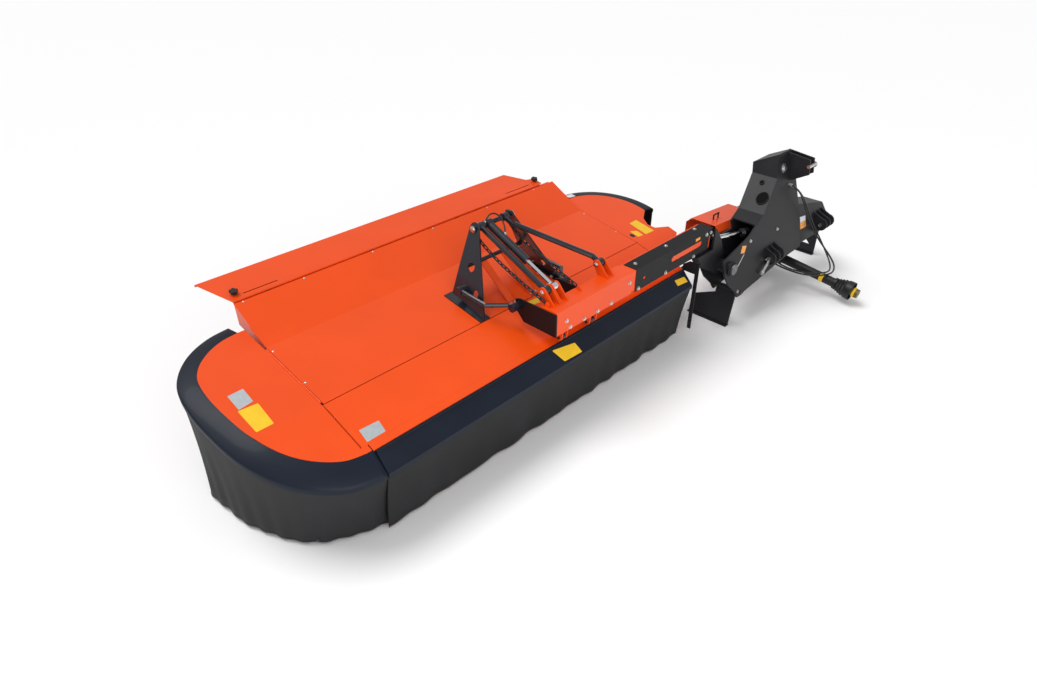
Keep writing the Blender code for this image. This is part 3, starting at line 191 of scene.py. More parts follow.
long_route = [
    (3.165, face_y(0.985), 0.985), (3.170, -0.480, 0.978), (3.205, -0.530, 0.925),
    (3.290, -0.535, 0.835), (3.404, -0.560, 0.671), (3.475, -0.590, 0.550), (3.555, -0.645, 0.410),
    (3.625, -0.715, 0.290), (3.625, -0.810, 0.205), (3.550, -0.890, 0.172), (3.400, -0.945, 0.182),
    (3.260, -0.962, 0.212), (3.138, -0.915, 0.224), (3.092, -0.820, 0.212), (3.082, -0.700, 0.204),
    (3.084, -0.580, 0.206), (3.092, -0.450, 0.220), (3.100, -0.321, 0.240),
]
lay_hose("hose_long", "headstock", long_route, 0.008)
short_route = [
    (3.215, face_y(0.955), 0.955), (3.222, -0.492, 0.942), (3.265, -0.530, 0.882),
    (3.335, -0.552, 0.790), (3.440, -0.580, 0.640), (3.510, -0.615, 0.520), (3.575, -0.675, 0.390),
    (3.592, -0.750, 0.275), (3.550, -0.830, 0.205), (3.460, -0.890, 0.182), (3.340, -0.925, 0.198),
    (3.240, -0.925, 0.222), (3.155, -0.880, 0.226), (3.122, -0.790, 0.214), (3.116, -0.680, 0.204),
    (3.122, -0.560, 0.206), (3.135, -0.440, 0.232), (3.140, -0.321, 0.275),
]
lay_hose("hose_short", "headstock", short_route, 0.007)
tower_route = [
    (0.130, 0.415, 1.300), (0.128, 0.412, 1.328), (0.148, 0.414, 1.354), (0.195, 0.418, 1.365),
    (0.240, 0.416, 1.350), (0.268, 0.402, 1.318), (0.262, 0.365, 1.288), (0.232, 0.318, 1.272),
    (0.196, 0.280, 1.262), (0.172, 0.250, 1.248),
]
lay_hose("hose_tower", "arm", tower_route, 0.006)


# Hood
# Pressed sheet about 2 mm thick in glossy orange powder coat, bent across the machine at the fold
# and at the rear bend. It is riveted to the beams under it, and cheeks close its rear corners.
def finish(
    name, colour, roughness, metallic=0.0, coat=0.0, mottle=0.12, scale=6.0, bump=0.0, grain=350.0,
    shine=0.5,
):
    """A finish whose colour and gloss vary softly over the piece, with a fine grain as bump."""
    paint = bpy.data.materials.new(name)
    paint.use_nodes = True
    tree = paint.node_tree
    shader = tree.nodes["Principled BSDF"]
    shader.inputs["Metallic"].default_value = metallic
    shader.inputs["Specular IOR Level"].default_value = shine
    shader.inputs["Coat Weight"].default_value = coat
    shader.inputs["Coat Roughness"].default_value = 0.08
    place = tree.nodes.new("ShaderNodeTexCoord")
    clouds = tree.nodes.new("ShaderNodeTexNoise")
    clouds.inputs["Scale"].default_value = scale
    clouds.inputs["Detail"].default_value = 4.0
    tree.links.new(place.outputs["Object"], clouds.inputs["Vector"])
    tint = tree.nodes.new("ShaderNodeValToRGB")
    tint.color_ramp.elements[0].position = 0.3
    tint.color_ramp.elements[1].position = 0.7
    tint.color_ramp.elements[0].color = (*[c * (1 - mottle) for c in colour], 1)
    tint.color_ramp.elements[1].color = (*[min(1.0, c * (1 + mottle)) for c in colour], 1)
    tree.links.new(clouds.outputs["Fac"], tint.inputs["Fac"])
    tree.links.new(tint.outputs["Color"], shader.inputs["Base Color"])
    gloss = tree.nodes.new("ShaderNodeMapRange")
    gloss.inputs["To Min"].default_value = roughness * 0.85
    gloss.inputs["To Max"].default_value = roughness * 1.2
    tree.links.new(clouds.outputs["Fac"], gloss.inputs["Value"])
    tree.links.new(gloss.outputs["Result"], shader.inputs["Roughness"])
    if bump:
        fine = tree.nodes.new("ShaderNodeTexNoise")
        fine.inputs["Scale"].default_value = grain
        tree.links.new(place.outputs["Object"], fine.inputs["Vector"])
        relief = tree.nodes.new("ShaderNodeBump")
        relief.inputs["Strength"].default_value = bump
        relief.inputs["Distance"].default_value = 0.001
        tree.links.new(fine.outputs["Fac"], relief.inputs["Height"])
        tree.links.new(relief.outputs["Normal"], shader.inputs["Normal"])
    return paint


def dress(material, *names):
    for name in names:
        cad[name].data.materials.clear()
        cad[name].data.materials.append(material)


def fit_piece(name, shape, material, body, rounding=0.0, instead=()):
    """Makes a piece of the shape, which is a bmesh, rounds its edges, and hangs it on its body."""
    mesh = bpy.data.meshes.new(name)
    bmesh.ops.recalc_face_normals(shape, faces=shape.faces)
    shape.to_mesh(mesh)
    shape.free()
    mesh.shade_smooth()
    mesh.set_sharp_from_angle(angle=math.radians(32))
    mesh.materials.append(material)
    piece = bpy.data.objects.new(name, mesh)
    bpy.context.scene.collection.objects.link(piece)
    if rounding:
        edge = piece.modifiers.new("rounded_edges", "BEVEL")
        edge.width = rounding
        edge.segments = 2
        edge.limit_method = "ANGLE"
        edge.angle_limit = math.radians(40)
        edge.harden_normals = True
    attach(piece, body)
    if instead:
        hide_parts(*instead)
    return piece


def join_rows(shape, rows):
    """Faces between rows of points that have equal numbers."""
    for one, two in zip(rows, rows[1:]):
        for i in range(len(one) - 1):
            shape.faces.new((one[i], one[i + 1], two[i + 1], two[i]))


def add_skin(shape, rows, thickness):
    """A closed sheet through rows of points, its thickness below them."""
    tops = [[Vector(p) for p in row] for row in rows]
    count = len(tops[0])
    levels = []
    for drop in (0.0, thickness):
        levels.append([[shape.verts.new(p - Vector((0, 0, drop))) for p in row] for row in tops])
    for level in levels:
        join_rows(shape, level)
    upper, lower = levels
    for a, b in ((upper[0], lower[0]), (upper[-1], lower[-1])):
        for i in range(count - 1):
            shape.faces.new((a[i], a[i + 1], b[i + 1], b[i]))
    for k in (0, -1):
        for i in range(len(tops) - 1):
            shape.faces.new((upper[i][k], upper[i + 1][k], lower[i + 1][k], lower[i][k]))


def add_plate(shape, outline, origin, across, up, near, far, holes=()):
    """A flat outline with holes, drawn along across and up from origin, between two depths."""
    across, up, origin = Vector(across).normalized(), Vector(up).normalized(), Vector(origin)
    normal = across.cross(up)
    loops = [list(outline), *[list(hole) for hole in holes]]
    flat = [[Vector((u, v, 0)) for u, v in loop] for loop in loops]
    triangles = mathutils.geometry.tessellate_polygon(flat)
    levels = []
    for depth in (near, far):
        seat = origin + normal * depth
        levels.append(
            [shape.verts.new(seat + across * u + up * v) for loop in loops for u, v in loop],
        )
    for level in levels:
        for a, b, c in triangles:
            if len({a, b, c}) == 3:
                shape.faces.new((level[a], level[b], level[c]))
    start = 0
    for loop in loops:
        for i in range(len(loop)):
            a, b = start + i, start + (i + 1) % len(loop)
            shape.faces.new((levels[0][a], levels[0][b], levels[1][b], levels[1][a]))
        start += len(loop)


def add_rod(shape, start, end, radius, end_radius=None, sides=20):
    start, end = Vector(start), Vector(end)
    turn = Vector((0, 0, 1)).rotation_difference(end - start).to_matrix().to_4x4()
    far = radius if end_radius is None else end_radius
    place = Matrix.Translation((start + end) / 2) @ turn
    size = {"segments": sides, "radius1": radius, "radius2": far, "depth": (end - start).length}
    bmesh.ops.create_cone(shape, cap_ends=True, matrix=place, **size)


def add_studs(shape, points, normal, radius, height, sides=12):
    """Round rivet heads on a surface."""
    normal = Vector(normal).normalized()
    for point in points:
        foot = Vector(point)
        middle, top = foot + normal * height * 0.5, foot + normal * height
        add_rod(shape, foot - normal * 0.001, middle, radius, radius * 0.9, sides)
        add_rod(shape, middle, top, radius * 0.9, radius * 0.45, sides)


def line_height(line, y):
    """Height on a line of (y, z) points, which runs on straight past its ends."""
    for (y0, z0), (y1, z1) in zip(line, line[1:]):
        if y <= y1:
            break
    return z0 + (z1 - z0) * (y - y0) / (y1 - y0)


hood_line = ((-0.351, 0.642), (0.083, 0.772), (0.716, 0.875), (1.076, 1.060))
band_top, fold, rear_bend, rear_edge = hood_line
joint_left, joint_right = -1.513, 1.558
skin = 0.005
step_y = -0.285


def hood_z(y):
    return line_height(hood_line, y)


def end_z(y):
    """Height of the end guards, which run on past the rear bend in one plane."""
    return line_height(hood_line[:3], y)


def slope_normal(line, y):
    step = 0.001
    return (0, line_height(line, y) - line_height(line, y + step), step)


orange_paint = finish(
    "orange_paint", (0.81, 0.073, 0.0045), 0.30, coat=0.12, mottle=0.04, scale=2.0, bump=0.05,
    shine=0.25,
)
dress(orange_paint, "hood_main")
front_skin = bmesh.new()
hood_right = joint_right - 0.003
for left, span in ((-1.468, (-0.337, step_y)), (joint_left + 0.003, (step_y, 0.080))):
    add_skin(front_skin, [[(left, y, hood_z(y)), (hood_right, y, hood_z(y))] for y in span], skin)
fit_piece("hood_front_skin", front_skin, orange_paint, "arm", 0.0012, ["hood_front"])
cheeks = bmesh.new()
cheek_line = [(0.705, end_z(0.705) - 0.004), (0.716, 0.872), (1.058, hood_z(1.058) - 0.003)]
cheek_line += [(1.058, end_z(1.058) - 0.035), (0.705, end_z(0.705) - 0.035)]
for x in (joint_left + 0.010, hood_right - 0.005):
    add_plate(cheeks, cheek_line, (x, 0, 0), (0, 1, 0), (0, 0, 1), 0, 0.004)
under_line = [(1.020, 1.015), (1.050, 1.036), (1.105, 1.040)]
add_skin(cheeks, [[(-1.49, y, z), (1.54, y, z)] for y, z in under_line], 0.003)
strip_x = (joint_left - 0.002, joint_left + 0.03)
for span in ((-0.33, fold[0]), (fold[0], rear_bend[0])):
    add_skin(cheeks, [[(x, y, hood_z(y) - 0.016) for x in strip_x] for y in span], 0.003)
fit_piece("hood_cheeks", cheeks, orange_paint, "arm")
rivet_steel = finish(
    "rivet_steel", (0.55, 0.53, 0.50), 0.35, metallic=0.9, mottle=0.15, scale=30.0, bump=0.1
)
rivets = bmesh.new()
rear_rivets = [(x, 1.052) for x in (-1.440, -0.991, -0.417, 0.158, 0.739, 1.300)]
seam_rivets = [(x, y) for x in (-1.488, 1.541) for y in (0.660, 0.300)]
for places, level_y in ((rear_rivets, 1.0), (seam_rivets, 0.3)):
    places = [(x, y, hood_z(y)) for x, y in places]
    add_studs(rivets, places, slope_normal(hood_line, level_y), 0.008, 0.004)
fit_piece("hood_rivets", rivets, rivet_steel, "arm")


# Outer end guard
# The round end of the hood: an orange skin on a long hinge, and the dark folded band round its
# edge. The guard folds up for transport, so both ride on it.
def inset(points, distance):
    """A line of plan points moved sideways, to the right of its direction of travel."""
    out = []
    for i, point in enumerate(points):
        way = (points[min(i + 1, len(points) - 1)] - points[max(i - 1, 0)]).normalized()
        out.append(point + Vector((way.y, -way.x)) * distance)
    return out


def x_at(line, y):
    """Where a line of plan points, which rises in y, passes y."""
    for a, b in zip(line, line[1:]):
        if a.y <= y <= b.y:
            return a.x + (b.x - a.x) * (y - a.y) / max(b.y - a.y, 1e-6)
    return line[-1].x


rim_points = [
    (-1.477, -0.452), (-1.66, -0.418), (-1.80, -0.340), (-1.92, -0.225), (-2.01, -0.080),
    (-2.072, 0.10), (-2.100, 0.32), (-2.106, 0.55), (-2.075, 0.74), (-1.990, 0.88), (-1.860, 0.985),
    (-1.72, 1.045), (-1.58, 1.066),
]
outer_rim = smooth_line(rim_points, 6)
band_width = 0.118
outer_inside = inset(outer_rim, band_width)
hinge_edge = joint_left - 0.006
end_skin = bmesh.new()
stations = sorted({round(p.y, 4) for p in outer_inside if -0.33 < p.y < 0.95} | {step_y, fold[0]})
front_stations = [y for y in stations if y <= step_y]
rear_stations = [y for y in stations if y >= step_y]
for line, right in ((front_stations, -1.474), (rear_stations, hinge_edge)):
    rows = []
    for y in line:
        left = min(x_at(outer_inside, y) + 0.003, right - 0.004)
        rows.append([(left, y, end_z(y)), (right, y, end_z(y))])
    add_skin(end_skin, rows, skin)
hinge_span = (fold[0] + 0.02, rear_bend[0] - 0.02)
add_rod(end_skin, *[(joint_left, y, end_z(y)) for y in hinge_span], 0.006, sides=16)
leaf_x = (joint_left - 0.03, joint_left - 0.002)
add_skin(end_skin, [[(x, y, end_z(y) - 0.001) for x in leaf_x] for y in hinge_span], 0.004)
fit_piece(
    "outer_end_skin", end_skin, orange_paint, "outer_guard", 0.0012, ["outer_end_plate"]
)
lip, band_sink = 0.034, 0.0058
fall_line = ((-0.452, 0.108), (0.10, 0.085), (0.45, 0.065), (0.95, 0.012))


def outer_fall(y):
    """How far the band's rim hangs below its inner edge: steep in front, almost flat behind."""
    return max(line_height(fall_line, y), 0.012)


def band_height(y):
    """Height of the end guards with the fold eased, as the band is rolled over it."""
    return sum(end_z(y + step) for step in (-0.10, -0.05, 0.0, 0.05, 0.10)) / 5


def add_band(shape, inner, rim, fall, side):
    """A folded band: flange under the skin, slope, rounded edge, side and returned lip."""
    rows = []
    for tuck, near, far in zip(inset(inner, side * 0.020), inner, rim):
        edge = Vector((*far, band_height(near.y) - fall(far.y)))
        start = Vector((*near, band_height(near.y) - band_sink))
        back = (start - edge).normalized()
        inward = Vector((back.x, back.y, 0)).normalized()
        down = Vector((0, 0, -1))
        flange = Vector((*tuck, band_height(tuck.y) - 0.0062))
        bend = [edge + back * 0.014, edge + back * 0.005 + down * 0.002, edge + down * 0.008]
        low = edge + down * lip
        rows.append([flange, start, *bend, low, low + inward * 0.010])
    join_rows(shape, [[shape.verts.new(p) for p in row] for row in rows])


def give_thickness(piece, thickness):
    solid = piece.modifiers.new("thickness", "SOLIDIFY")
    solid.thickness = thickness
    solid.offset = 0.0


band_paint = finish(
    "band_paint", (0.006, 0.010, 0.020), 0.42, coat=0.05, mottle=0.15, scale=3.0, bump=0.12,
    shine=0.18,
)
dress(band_paint, "front_band")
outer_band = bmesh.new()
add_band(outer_band, outer_inside, outer_rim, outer_fall, 1)
corner_line = ((-0.338, 0.634), (-0.438, 0.530), (-0.438, 0.490))
corner_rows = []
for x in (-1.50, -1.435):
    corner_rows.append([outer_band.verts.new((x, y, z)) for y, z in corner_line])
join_rows(outer_band, corner_rows)
band = fit_piece("outer_band", outer_band, band_paint, "outer_guard", 0, ["outer_end_band"])
give_thickness(band, 0.004)

# Inner end guard
# The orange skin and the dark folded band beside the headstock, of the same sheet as the hood and
# bolted to it. They are cut away in front so that the arm and the drive can pass.
inner_centre = Vector((1.62, 0.46))
inner_angles = [math.radians(-10 + 94 * i / 28) for i in range(29)]
rim_radius, inside_radius = 0.560, 0.455


def round_inner(angle, radius):
    """A plan point on a circle about the centre of the inner end guard."""
    return inner_centre + Vector((math.cos(angle), math.sin(angle))) * radius


inner_rim = [round_inner(angle, rim_radius) for angle in inner_angles]
inner_inside = [round_inner(angle, inside_radius) for angle in inner_angles]
notch = [
    (1.64, -0.337), (1.66, -0.20), (1.86, -0.10), (2.02, -0.01), (2.02, 0.083), (1.90, 0.14),
    (1.885, 0.21), (1.94, 0.30),
]
inner_line = [Vector(p) for p in notch] + inner_inside
inner_skin = bmesh.new()
rows = [[(x, p.y, end_z(p.y)) for x in (joint_right + 0.003, p.x - 0.003)] for p in inner_line]
add_skin(inner_skin, rows, skin)
fit_piece("inner_end_skin", inner_skin, orange_paint, "arm", 0.0012, ["inner_end_plate"])
inner_band = bmesh.new()
add_band(inner_band, inner_inside, inner_rim, lambda y: 0.010, -1)
band = fit_piece("inner_band", inner_band, band_paint, "arm", 0, ["inner_end_band"])
give_thickness(band, 0.004)

# Curtains
# Rubber-coated cloth hung inside the bands to just above the ground, where it stops thrown stones.
# It ripples more towards its free edge, which is bound with a lighter piping.
curtain_cloth = finish(
    "curtain_cloth", (0.014, 0.0145, 0.0155), 0.65, mottle=0.25, scale=4.0, bump=0.5, grain=900.0,
    shine=0.25,
)
piping_rubber = finish(
    "piping_rubber", (0.16, 0.165, 0.17), 0.55, mottle=0.2, scale=15.0, bump=0.2, grain=500.0
)


def hang_curtain(name, top, hem, body, node, ripple, seed):
    """Cloth from the line top to the line hem, both (x, y, z), with its bound edge."""
    chance = random.Random(seed)
    waves = []
    for _ in range(5):
        length, phase = chance.uniform(0.13, 0.45), chance.uniform(0, math.tau)
        waves.append((length, phase, chance.uniform(0.5, 1.0)))
    total = sum(size for _, _, size in waves)
    levels = 10
    rows = [[] for _ in range(levels + 1)]
    run = 0.0
    for i, (high, low) in enumerate(zip(top, hem)):
        before, after = hem[max(i - 1, 0)], hem[min(i + 1, len(hem) - 1)]
        way = (after - before).normalized()
        outward = Vector((way.y, -way.x, 0))
        run += (low - before).length
        swings = [size * math.sin(math.tau * run / length + phase) for length, phase, size in waves]
        swing = sum(swings) / total
        for k in range(levels + 1):
            t = k / levels
            belly = 0.010 * math.sin(math.pi * t)
            point = high.lerp(low, t) + outward * (ripple * swing * t**1.4 + belly)
            point.z += ripple * 0.35 * swing * t**2
            rows[k].append(point)
    shape = bmesh.new()
    join_rows(shape, [[shape.verts.new(p) for p in row] for row in rows])
    area = sum(face.calc_area() for face in shape.faces)
    cloth = fit_piece(name, shape, curtain_cloth, body, 0, [node])
    give_thickness(cloth, 0.004)
    piping = draw_tube(name + "_piping", rows[-1], 0.0055, 2, piping_rubber)
    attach(piping, body)


def lift_line(points, heights):
    return [Vector((p.x, p.y, z)) for p, z in zip(points, heights)]


hem_points = [
    (-1.477, -0.310), (-1.64, -0.270), (-1.775, -0.195), (-1.885, -0.090), (-1.965, 0.040),
    (-2.022, 0.185), (-2.066, 0.36), (-2.088, 0.56), (-2.070, 0.75), (-1.990, 0.90), (-1.865, 1.01),
    (-1.725, 1.05), (-1.59, 1.075),
]
outer_hem = smooth_line(hem_points, 12)
outer_fine = smooth_line(outer_rim, 2)
outer_fine_inside = smooth_line(outer_inside, 2)
pairs = zip(outer_fine_inside, outer_fine)
rim_heights = [band_height(near.y) - outer_fall(far.y) - 0.012 for near, far in pairs]
corner_x = -1.432
outer_clearance, front_clearance, inner_clearance = 0.026, 0.028, 0.21
outer_top = [Vector((corner_x, -0.432, 0.520)), *lift_line(inset(outer_fine, 0.007), rim_heights)]
outer_low = [Vector((corner_x, -0.328, outer_clearance))]
outer_low += lift_line(outer_hem, [outer_clearance] * len(outer_hem))
hang_curtain("outer_curtain_cloth", outer_top, outer_low, "outer_guard", "outer_curtain", 0.020, 3)
front_left, front_right, front_parts = -1.462, 1.635, 220
front_xs = [
    front_left + (front_right - front_left) * i / front_parts
    for i in range(front_parts + 1)
]
front_top = [Vector((x, -0.444, 0.520)) for x in reversed(front_xs)]
front_hem = [Vector((x, -0.362, front_clearance)) for x in reversed(front_xs)]
hang_curtain("front_curtain_cloth", front_top, front_hem, "front_guard", "front_curtain", 0.014, 8)
inner_fine = smooth_line(inner_rim, 4)[::-1]
inner_top = lift_line(inset(inner_fine, 0.007), [end_z(p.y) - 0.025 for p in inner_fine])
inner_hem = lift_line(inset(inner_fine, -0.015), [inner_clearance] * len(inner_fine))
hang_curtain("inner_curtain_cloth", inner_top, inner_hem, "arm", "inner_curtain", 0.012, 5)

# Rear flap
# A loose panel of orange sheet, hinged along the hood's rear edge and set with star knobs in its
# two slots. Near-black strips under the slots are painted shade, for the depth seen through them.
flap_x, tip_x, flap_depth = (-1.500, 1.400), (-1.600, 1.264), 0.318
flap_run = Vector((0, 0.315, 0.044)).normalized()
flap_line = [(flap_x[0], 0), (flap_x[1], 0), (1.440, 0.012), (1.440, 0.112), (1.365, 0.135)]
flap_line += [(tip_x[1], flap_depth), (tip_x[0], flap_depth)]
slot_spans = ((-1.400, -1.150), (1.030, 1.320))


def oblong(left, right, low, high):
    return [(left, low), (right, low), (right, high), (left, high)]


flap_slots = [oblong(left, right, 0.046, 0.055) for left, right in slot_spans]
flap = bmesh.new()
add_plate(flap, flap_line, (0, *rear_edge), (1, 0, 0), flap_run, 0, -0.004, flap_slots)
add_rod(flap, (flap_x[0], *rear_edge), (flap_x[1], *rear_edge), 0.008, sides=16)
flap_up = Vector((1, 0, 0)).cross(flap_run)
rear_lip = Vector((0, *rear_edge)) + flap_run * flap_depth
add_plate(flap, oblong(*tip_x, 0, -0.018), rear_lip, (1, 0, 0), flap_up, 0, 0.003)
fit_piece("rear_flap_skin", flap, orange_paint, "rear_flap", 0.0010, ["rear_flap"])
# Painted shade: a near-black sheet under each slot stands in for the dark depth behind it.
slot_shade_paint = finish(
    "slot_shade_paint", (0.006, 0.006, 0.006), 0.8, mottle=0.3, scale=20.0, bump=0.2, shine=0.1
)
strips = bmesh.new()
for left, right in slot_spans:
    strip = oblong(left - 0.01, right + 0.01, 0.036, 0.066)
    add_plate(strips, strip, (0, *rear_edge), (1, 0, 0), flap_run, -0.0042, -0.0065)
fit_piece("flap_slot_shade_strips", strips, slot_shade_paint, "rear_flap")

# Arm box and its cover
# The box that carries the mower is welded plate, with lugs for the links on top and two pairs of
# lugs below. A folded dark cover is bolted over the long end, with a slot along its front.
dress(orange_paint, "arm_beam", "drive_guard")
cover_paint = finish(
    "cover_paint", (0.006, 0.0063, 0.0075), 0.45, mottle=0.15, scale=5.0, bump=0.1, shine=0.2
)
dress(cover_paint, "arm_end_plate_left", "arm_end_plate_right")


def round_ended(x0, x1, z, radius, steps=8):
    """Outline of a slot with round ends."""
    turns = [math.pi * i / steps - math.pi / 2 for i in range(steps + 1)]
    right = [(x1 + radius * math.cos(a), z + radius * math.sin(a)) for a in turns]
    return right + [(x0 - radius * math.cos(a), z - radius * math.sin(a)) for a in turns]


cover_left, cover_right, cover_face, cover_low, cover_top = 0.88, 1.924, -0.4033, 0.756, 0.9433
notch_x, notch_z = 1.879, 0.885
cover = bmesh.new()
cover_line = [(cover_left, cover_low), (notch_x, cover_low), (notch_x, notch_z)]
cover_line += [(cover_right, notch_z), (cover_right, cover_top), (cover_left, cover_top)]
cover_slots = [round_ended(1.37, 1.75, 0.855, 0.025), round_ended(0.990, 0.994, 0.835, 0.013)]
add_plate(cover, cover_line, (0, cover_face, 0), (1, 0, 0), (0, 0, 1), 0, -0.004, cover_slots)
cover_depth = (cover_face + 0.004, -0.28)
add_skin(
    cover, [[(x, y, cover_top) for x in (cover_left, cover_right)] for y in cover_depth], 0.004
)
fit_piece("arm_cover_sheet", cover, cover_paint, "arm", 0, ["arm_cover"])


def half_round(y, z, radius, start):
    """Points on half a circle, from the start angle on."""
    angles = [start + math.pi * i / 8 for i in range(9)]
    return [(y + radius * math.cos(a), z + radius * math.sin(a)) for a in angles]


low_eye_y, low_eye_z = -0.360, 0.700
low_lug = [*half_round(low_eye_y, low_eye_z, 0.024, math.pi), (-0.325, 0.765), (-0.395, 0.765)]
lugs = bmesh.new()
for x in (0.085, 0.135, 0.380, 0.450):
    add_plate(lugs, low_lug, (x, 0, 0), (0, 1, 0), (0, 0, 1), -0.005, 0.005)
fit_piece("arm_low_lugs", lugs, orange_paint, "arm", 0.001)
zinc = finish(
    "zinc_plate", (0.62, 0.62, 0.60), 0.30, metallic=1.0, mottle=0.1, scale=20.0, bump=0.05
)


def add_bolts(shape, points, normal, size=0.013):
    """Hexagon heads on washers."""
    normal = Vector(normal).normalized()
    for point in points:
        foot = Vector(point)
        add_rod(shape, foot - normal * 0.0005, foot + normal * 0.0025, size * 1.25, sides=20)
        add_rod(shape, foot + normal * 0.002, foot + normal * 0.010, size, sides=6)
        add_rod(
            shape, foot + normal * 0.010, foot + normal * 0.0115, size * 0.86, size * 0.7, sides=6
        )


bolts = bmesh.new()
low_bolts = [(x, 0.778) for x in (0.148, 0.295, 0.443, 0.596)]
beam_bolts = [(0.106, 0.845), *low_bolts, (0.806, 0.864)]
add_bolts(bolts, [(x, -0.400, z) for x, z in beam_bolts], (0, -1, 0))
front_bolts = [(x, 0.774) for x in (0.920, 1.272, 1.667)] + [(x, 0.912) for x in (1.830, 1.893)]
add_bolts(bolts, [(x, cover_face, z) for x, z in front_bolts], (0, -1, 0))
top_bolts = ((0.949, -0.336), (1.361, -0.325), (1.785, -0.312))
add_bolts(bolts, [(x, y, cover_top) for x, y in top_bolts], (0, 0, 1))
link_eyes, eye_half = (0.085, 0.160, 0.660), 0.0433
for way in (-1, 1):
    for x in link_eyes:
        add_bolts(bolts, [(x + way * eye_half, -0.225, 1.020)], (way, 0, 0), 0.015)
for x, way in ((0.010, -1), (0.400, 1)):
    add_bolts(bolts, [(x, 0.415, 1.290)], (way, 0, 0), 0.020)
for x in (-0.1645, 0.5745):
    foot_bolts = [(x, y, hood_z(y) + 0.009) for y in (0.165, 0.395)]
    add_bolts(bolts, foot_bolts, (0, -0.16, 1), 0.012)
fit_piece("arm_bolts", bolts, zinc, "arm", 0.0008)
hose_nuts = bmesh.new()
add_rod(hose_nuts, (0.130, 0.415, 1.296), (0.130, 0.414, 1.318), 0.0095, sides=6)
add_rod(hose_nuts, (0.172, 0.250, 1.246), (0.185, 0.267, 1.256), 0.0095, sides=6)
fit_piece("tower_hose_nuts", hose_nuts, zinc, "arm", 0.0008)
bushes = bmesh.new()
for left, right in ((0.090, 0.130), (0.385, 0.445)):
    for past, radius, sides in ((0.020, 0.011, 16), (-0.001, 0.019, 20)):
        ends = [(x, low_eye_y, low_eye_z) for x in (left - past, right + past)]
        add_rod(bushes, *ends, radius, sides=sides)
navy_paint = finish(
    "navy_paint", (0.008, 0.011, 0.018), 0.30, coat=0.4, mottle=0.2, scale=6.0, bump=0.08, shine=0.4
)
fit_piece("arm_low_bushes", bushes, navy_paint, "arm", 0.001)

# Suspension tower, links and chains
# Two laser-cut plates lean together over the hood; orange straps brace them, and tubular links, the
# suspension cylinder and two slack chains run forward from their pins to the arm box.
dress(navy_paint, "suspension_tower", "suspension_cylinder", "lift_barrel")
dress(navy_paint, "upper_link_left", "upper_link_right", "lower_link_left", "lower_link_right")
foot_top = 0.0085
for side, x in (("left", 0.100), ("right", 0.310)):
    strap = bmesh.new()
    foot = Vector((x, 0.125, hood_z(0.125) + 0.009))
    head = Vector((x, 0.425, 1.020))
    reach = (head - foot).length - 0.0165
    flat_bar = oblong(-0.03, 0.03, 0, reach)
    add_plate(strap, flat_bar, foot, (1, 0, 0), head - foot, -0.004, 0.004)
    foot_x = (x - 0.035, x + 0.035)
    add_skin(strap, [[(u, y, hood_z(y) + foot_top) for u in foot_x] for y in (0.098, 0.160)], 0.008)
    fit_piece(
        "tower_strap_" + side, strap, orange_paint, "arm", 0.001, ["tower_tie_" + side]
    )
    strap_bolts = bmesh.new()
    places = [(u, 0.106, hood_z(0.106) + foot_top) for u in (x - 0.022, x + 0.022)]
    add_bolts(strap_bolts, places, (0, -0.25, 1), 0.008)
    fit_piece("tower_strap_bolts_" + side, strap_bolts, zinc, "arm")


def join_rings(shape, rings):
    """Faces between closed rings of points, and from the last ring back to the first."""
    for one, two in zip(rings, rings[1:] + rings[:1]):
        for k in range(len(one)):
            j = (k + 1) % len(one)
            shape.faces.new((one[k], one[j], two[j], two[k]))


def add_ring(shape, centre, side, other, radius, sides):
    """Points round a centre, in the plane of side and other."""
    turns = [math.tau * k / sides for k in range(sides)]
    spokes = [side * math.cos(a) + other * math.sin(a) for a in turns]
    return [shape.verts.new(centre + spoke * radius) for spoke in spokes]


def add_loop(shape, points, normal, radius, sides=8):
    """A closed wire through points that lie in one plane."""
    normal = Vector(normal).normalized()
    rings = []
    for i, point in enumerate(points):
        way = (points[(i + 1) % len(points)] - points[i - 1]).normalized()
        rings.append(add_ring(shape, point, way.cross(normal), normal, radius, sides))
    join_rings(shape, rings)


def add_chain(shape, path, wire, bend, straight):
    """Oval links of round wire along a path, every second one turned by a quarter."""
    marks = space_out(path, straight + 2 * bend - 2 * wire)
    level = Vector((1, 0, 0))
    turns = [math.pi * i / 5 - math.pi / 2 for i in range(6)]
    for count, (start, end) in enumerate(zip(marks, marks[1:])):
        along = (end - start).normalized()
        across = level if count % 2 else along.cross(level).normalized()
        middle = (start + end) / 2
        loop = []
        for way in (1, -1):
            for a in turns:
                out = along * (straight / 2 + bend * math.cos(a)) + across * bend * math.sin(a)
                loop.append(middle + out * way)
        add_loop(shape, loop, along.cross(across), wire)


chain_steel = finish(
    "chain_steel", (0.035, 0.035, 0.036), 0.38, metallic=0.7, mottle=0.3, scale=60.0, bump=0.15,
    shine=0.5,
)
sag = (
    (0.413, 1.262), (0.395, 1.235), (0.30, 1.175), (0.15, 1.105), (-0.05, 1.035), (-0.277, 0.966)
)
tab_line = [*half_round(-0.290, 0.962, 0.016, 0), (-0.306, 0.938), (-0.274, 0.938)]
for side, x in (("left", 0.030), ("right", 0.355)):
    chain = bmesh.new()
    add_chain(chain, smooth_line([(x, y, z) for y, z in sag], 8), 0.0048, 0.0105, 0.028)
    fit_piece(f"limit_chain_{side}", chain, chain_steel, "arm")
    tab = bmesh.new()
    add_plate(tab, tab_line, (x, 0, 0), (0, 1, 0), (0, 0, 1), -0.004, 0.004)
    fit_piece(f"chain_tab_{side}", tab, orange_paint, "arm", 0.0008)

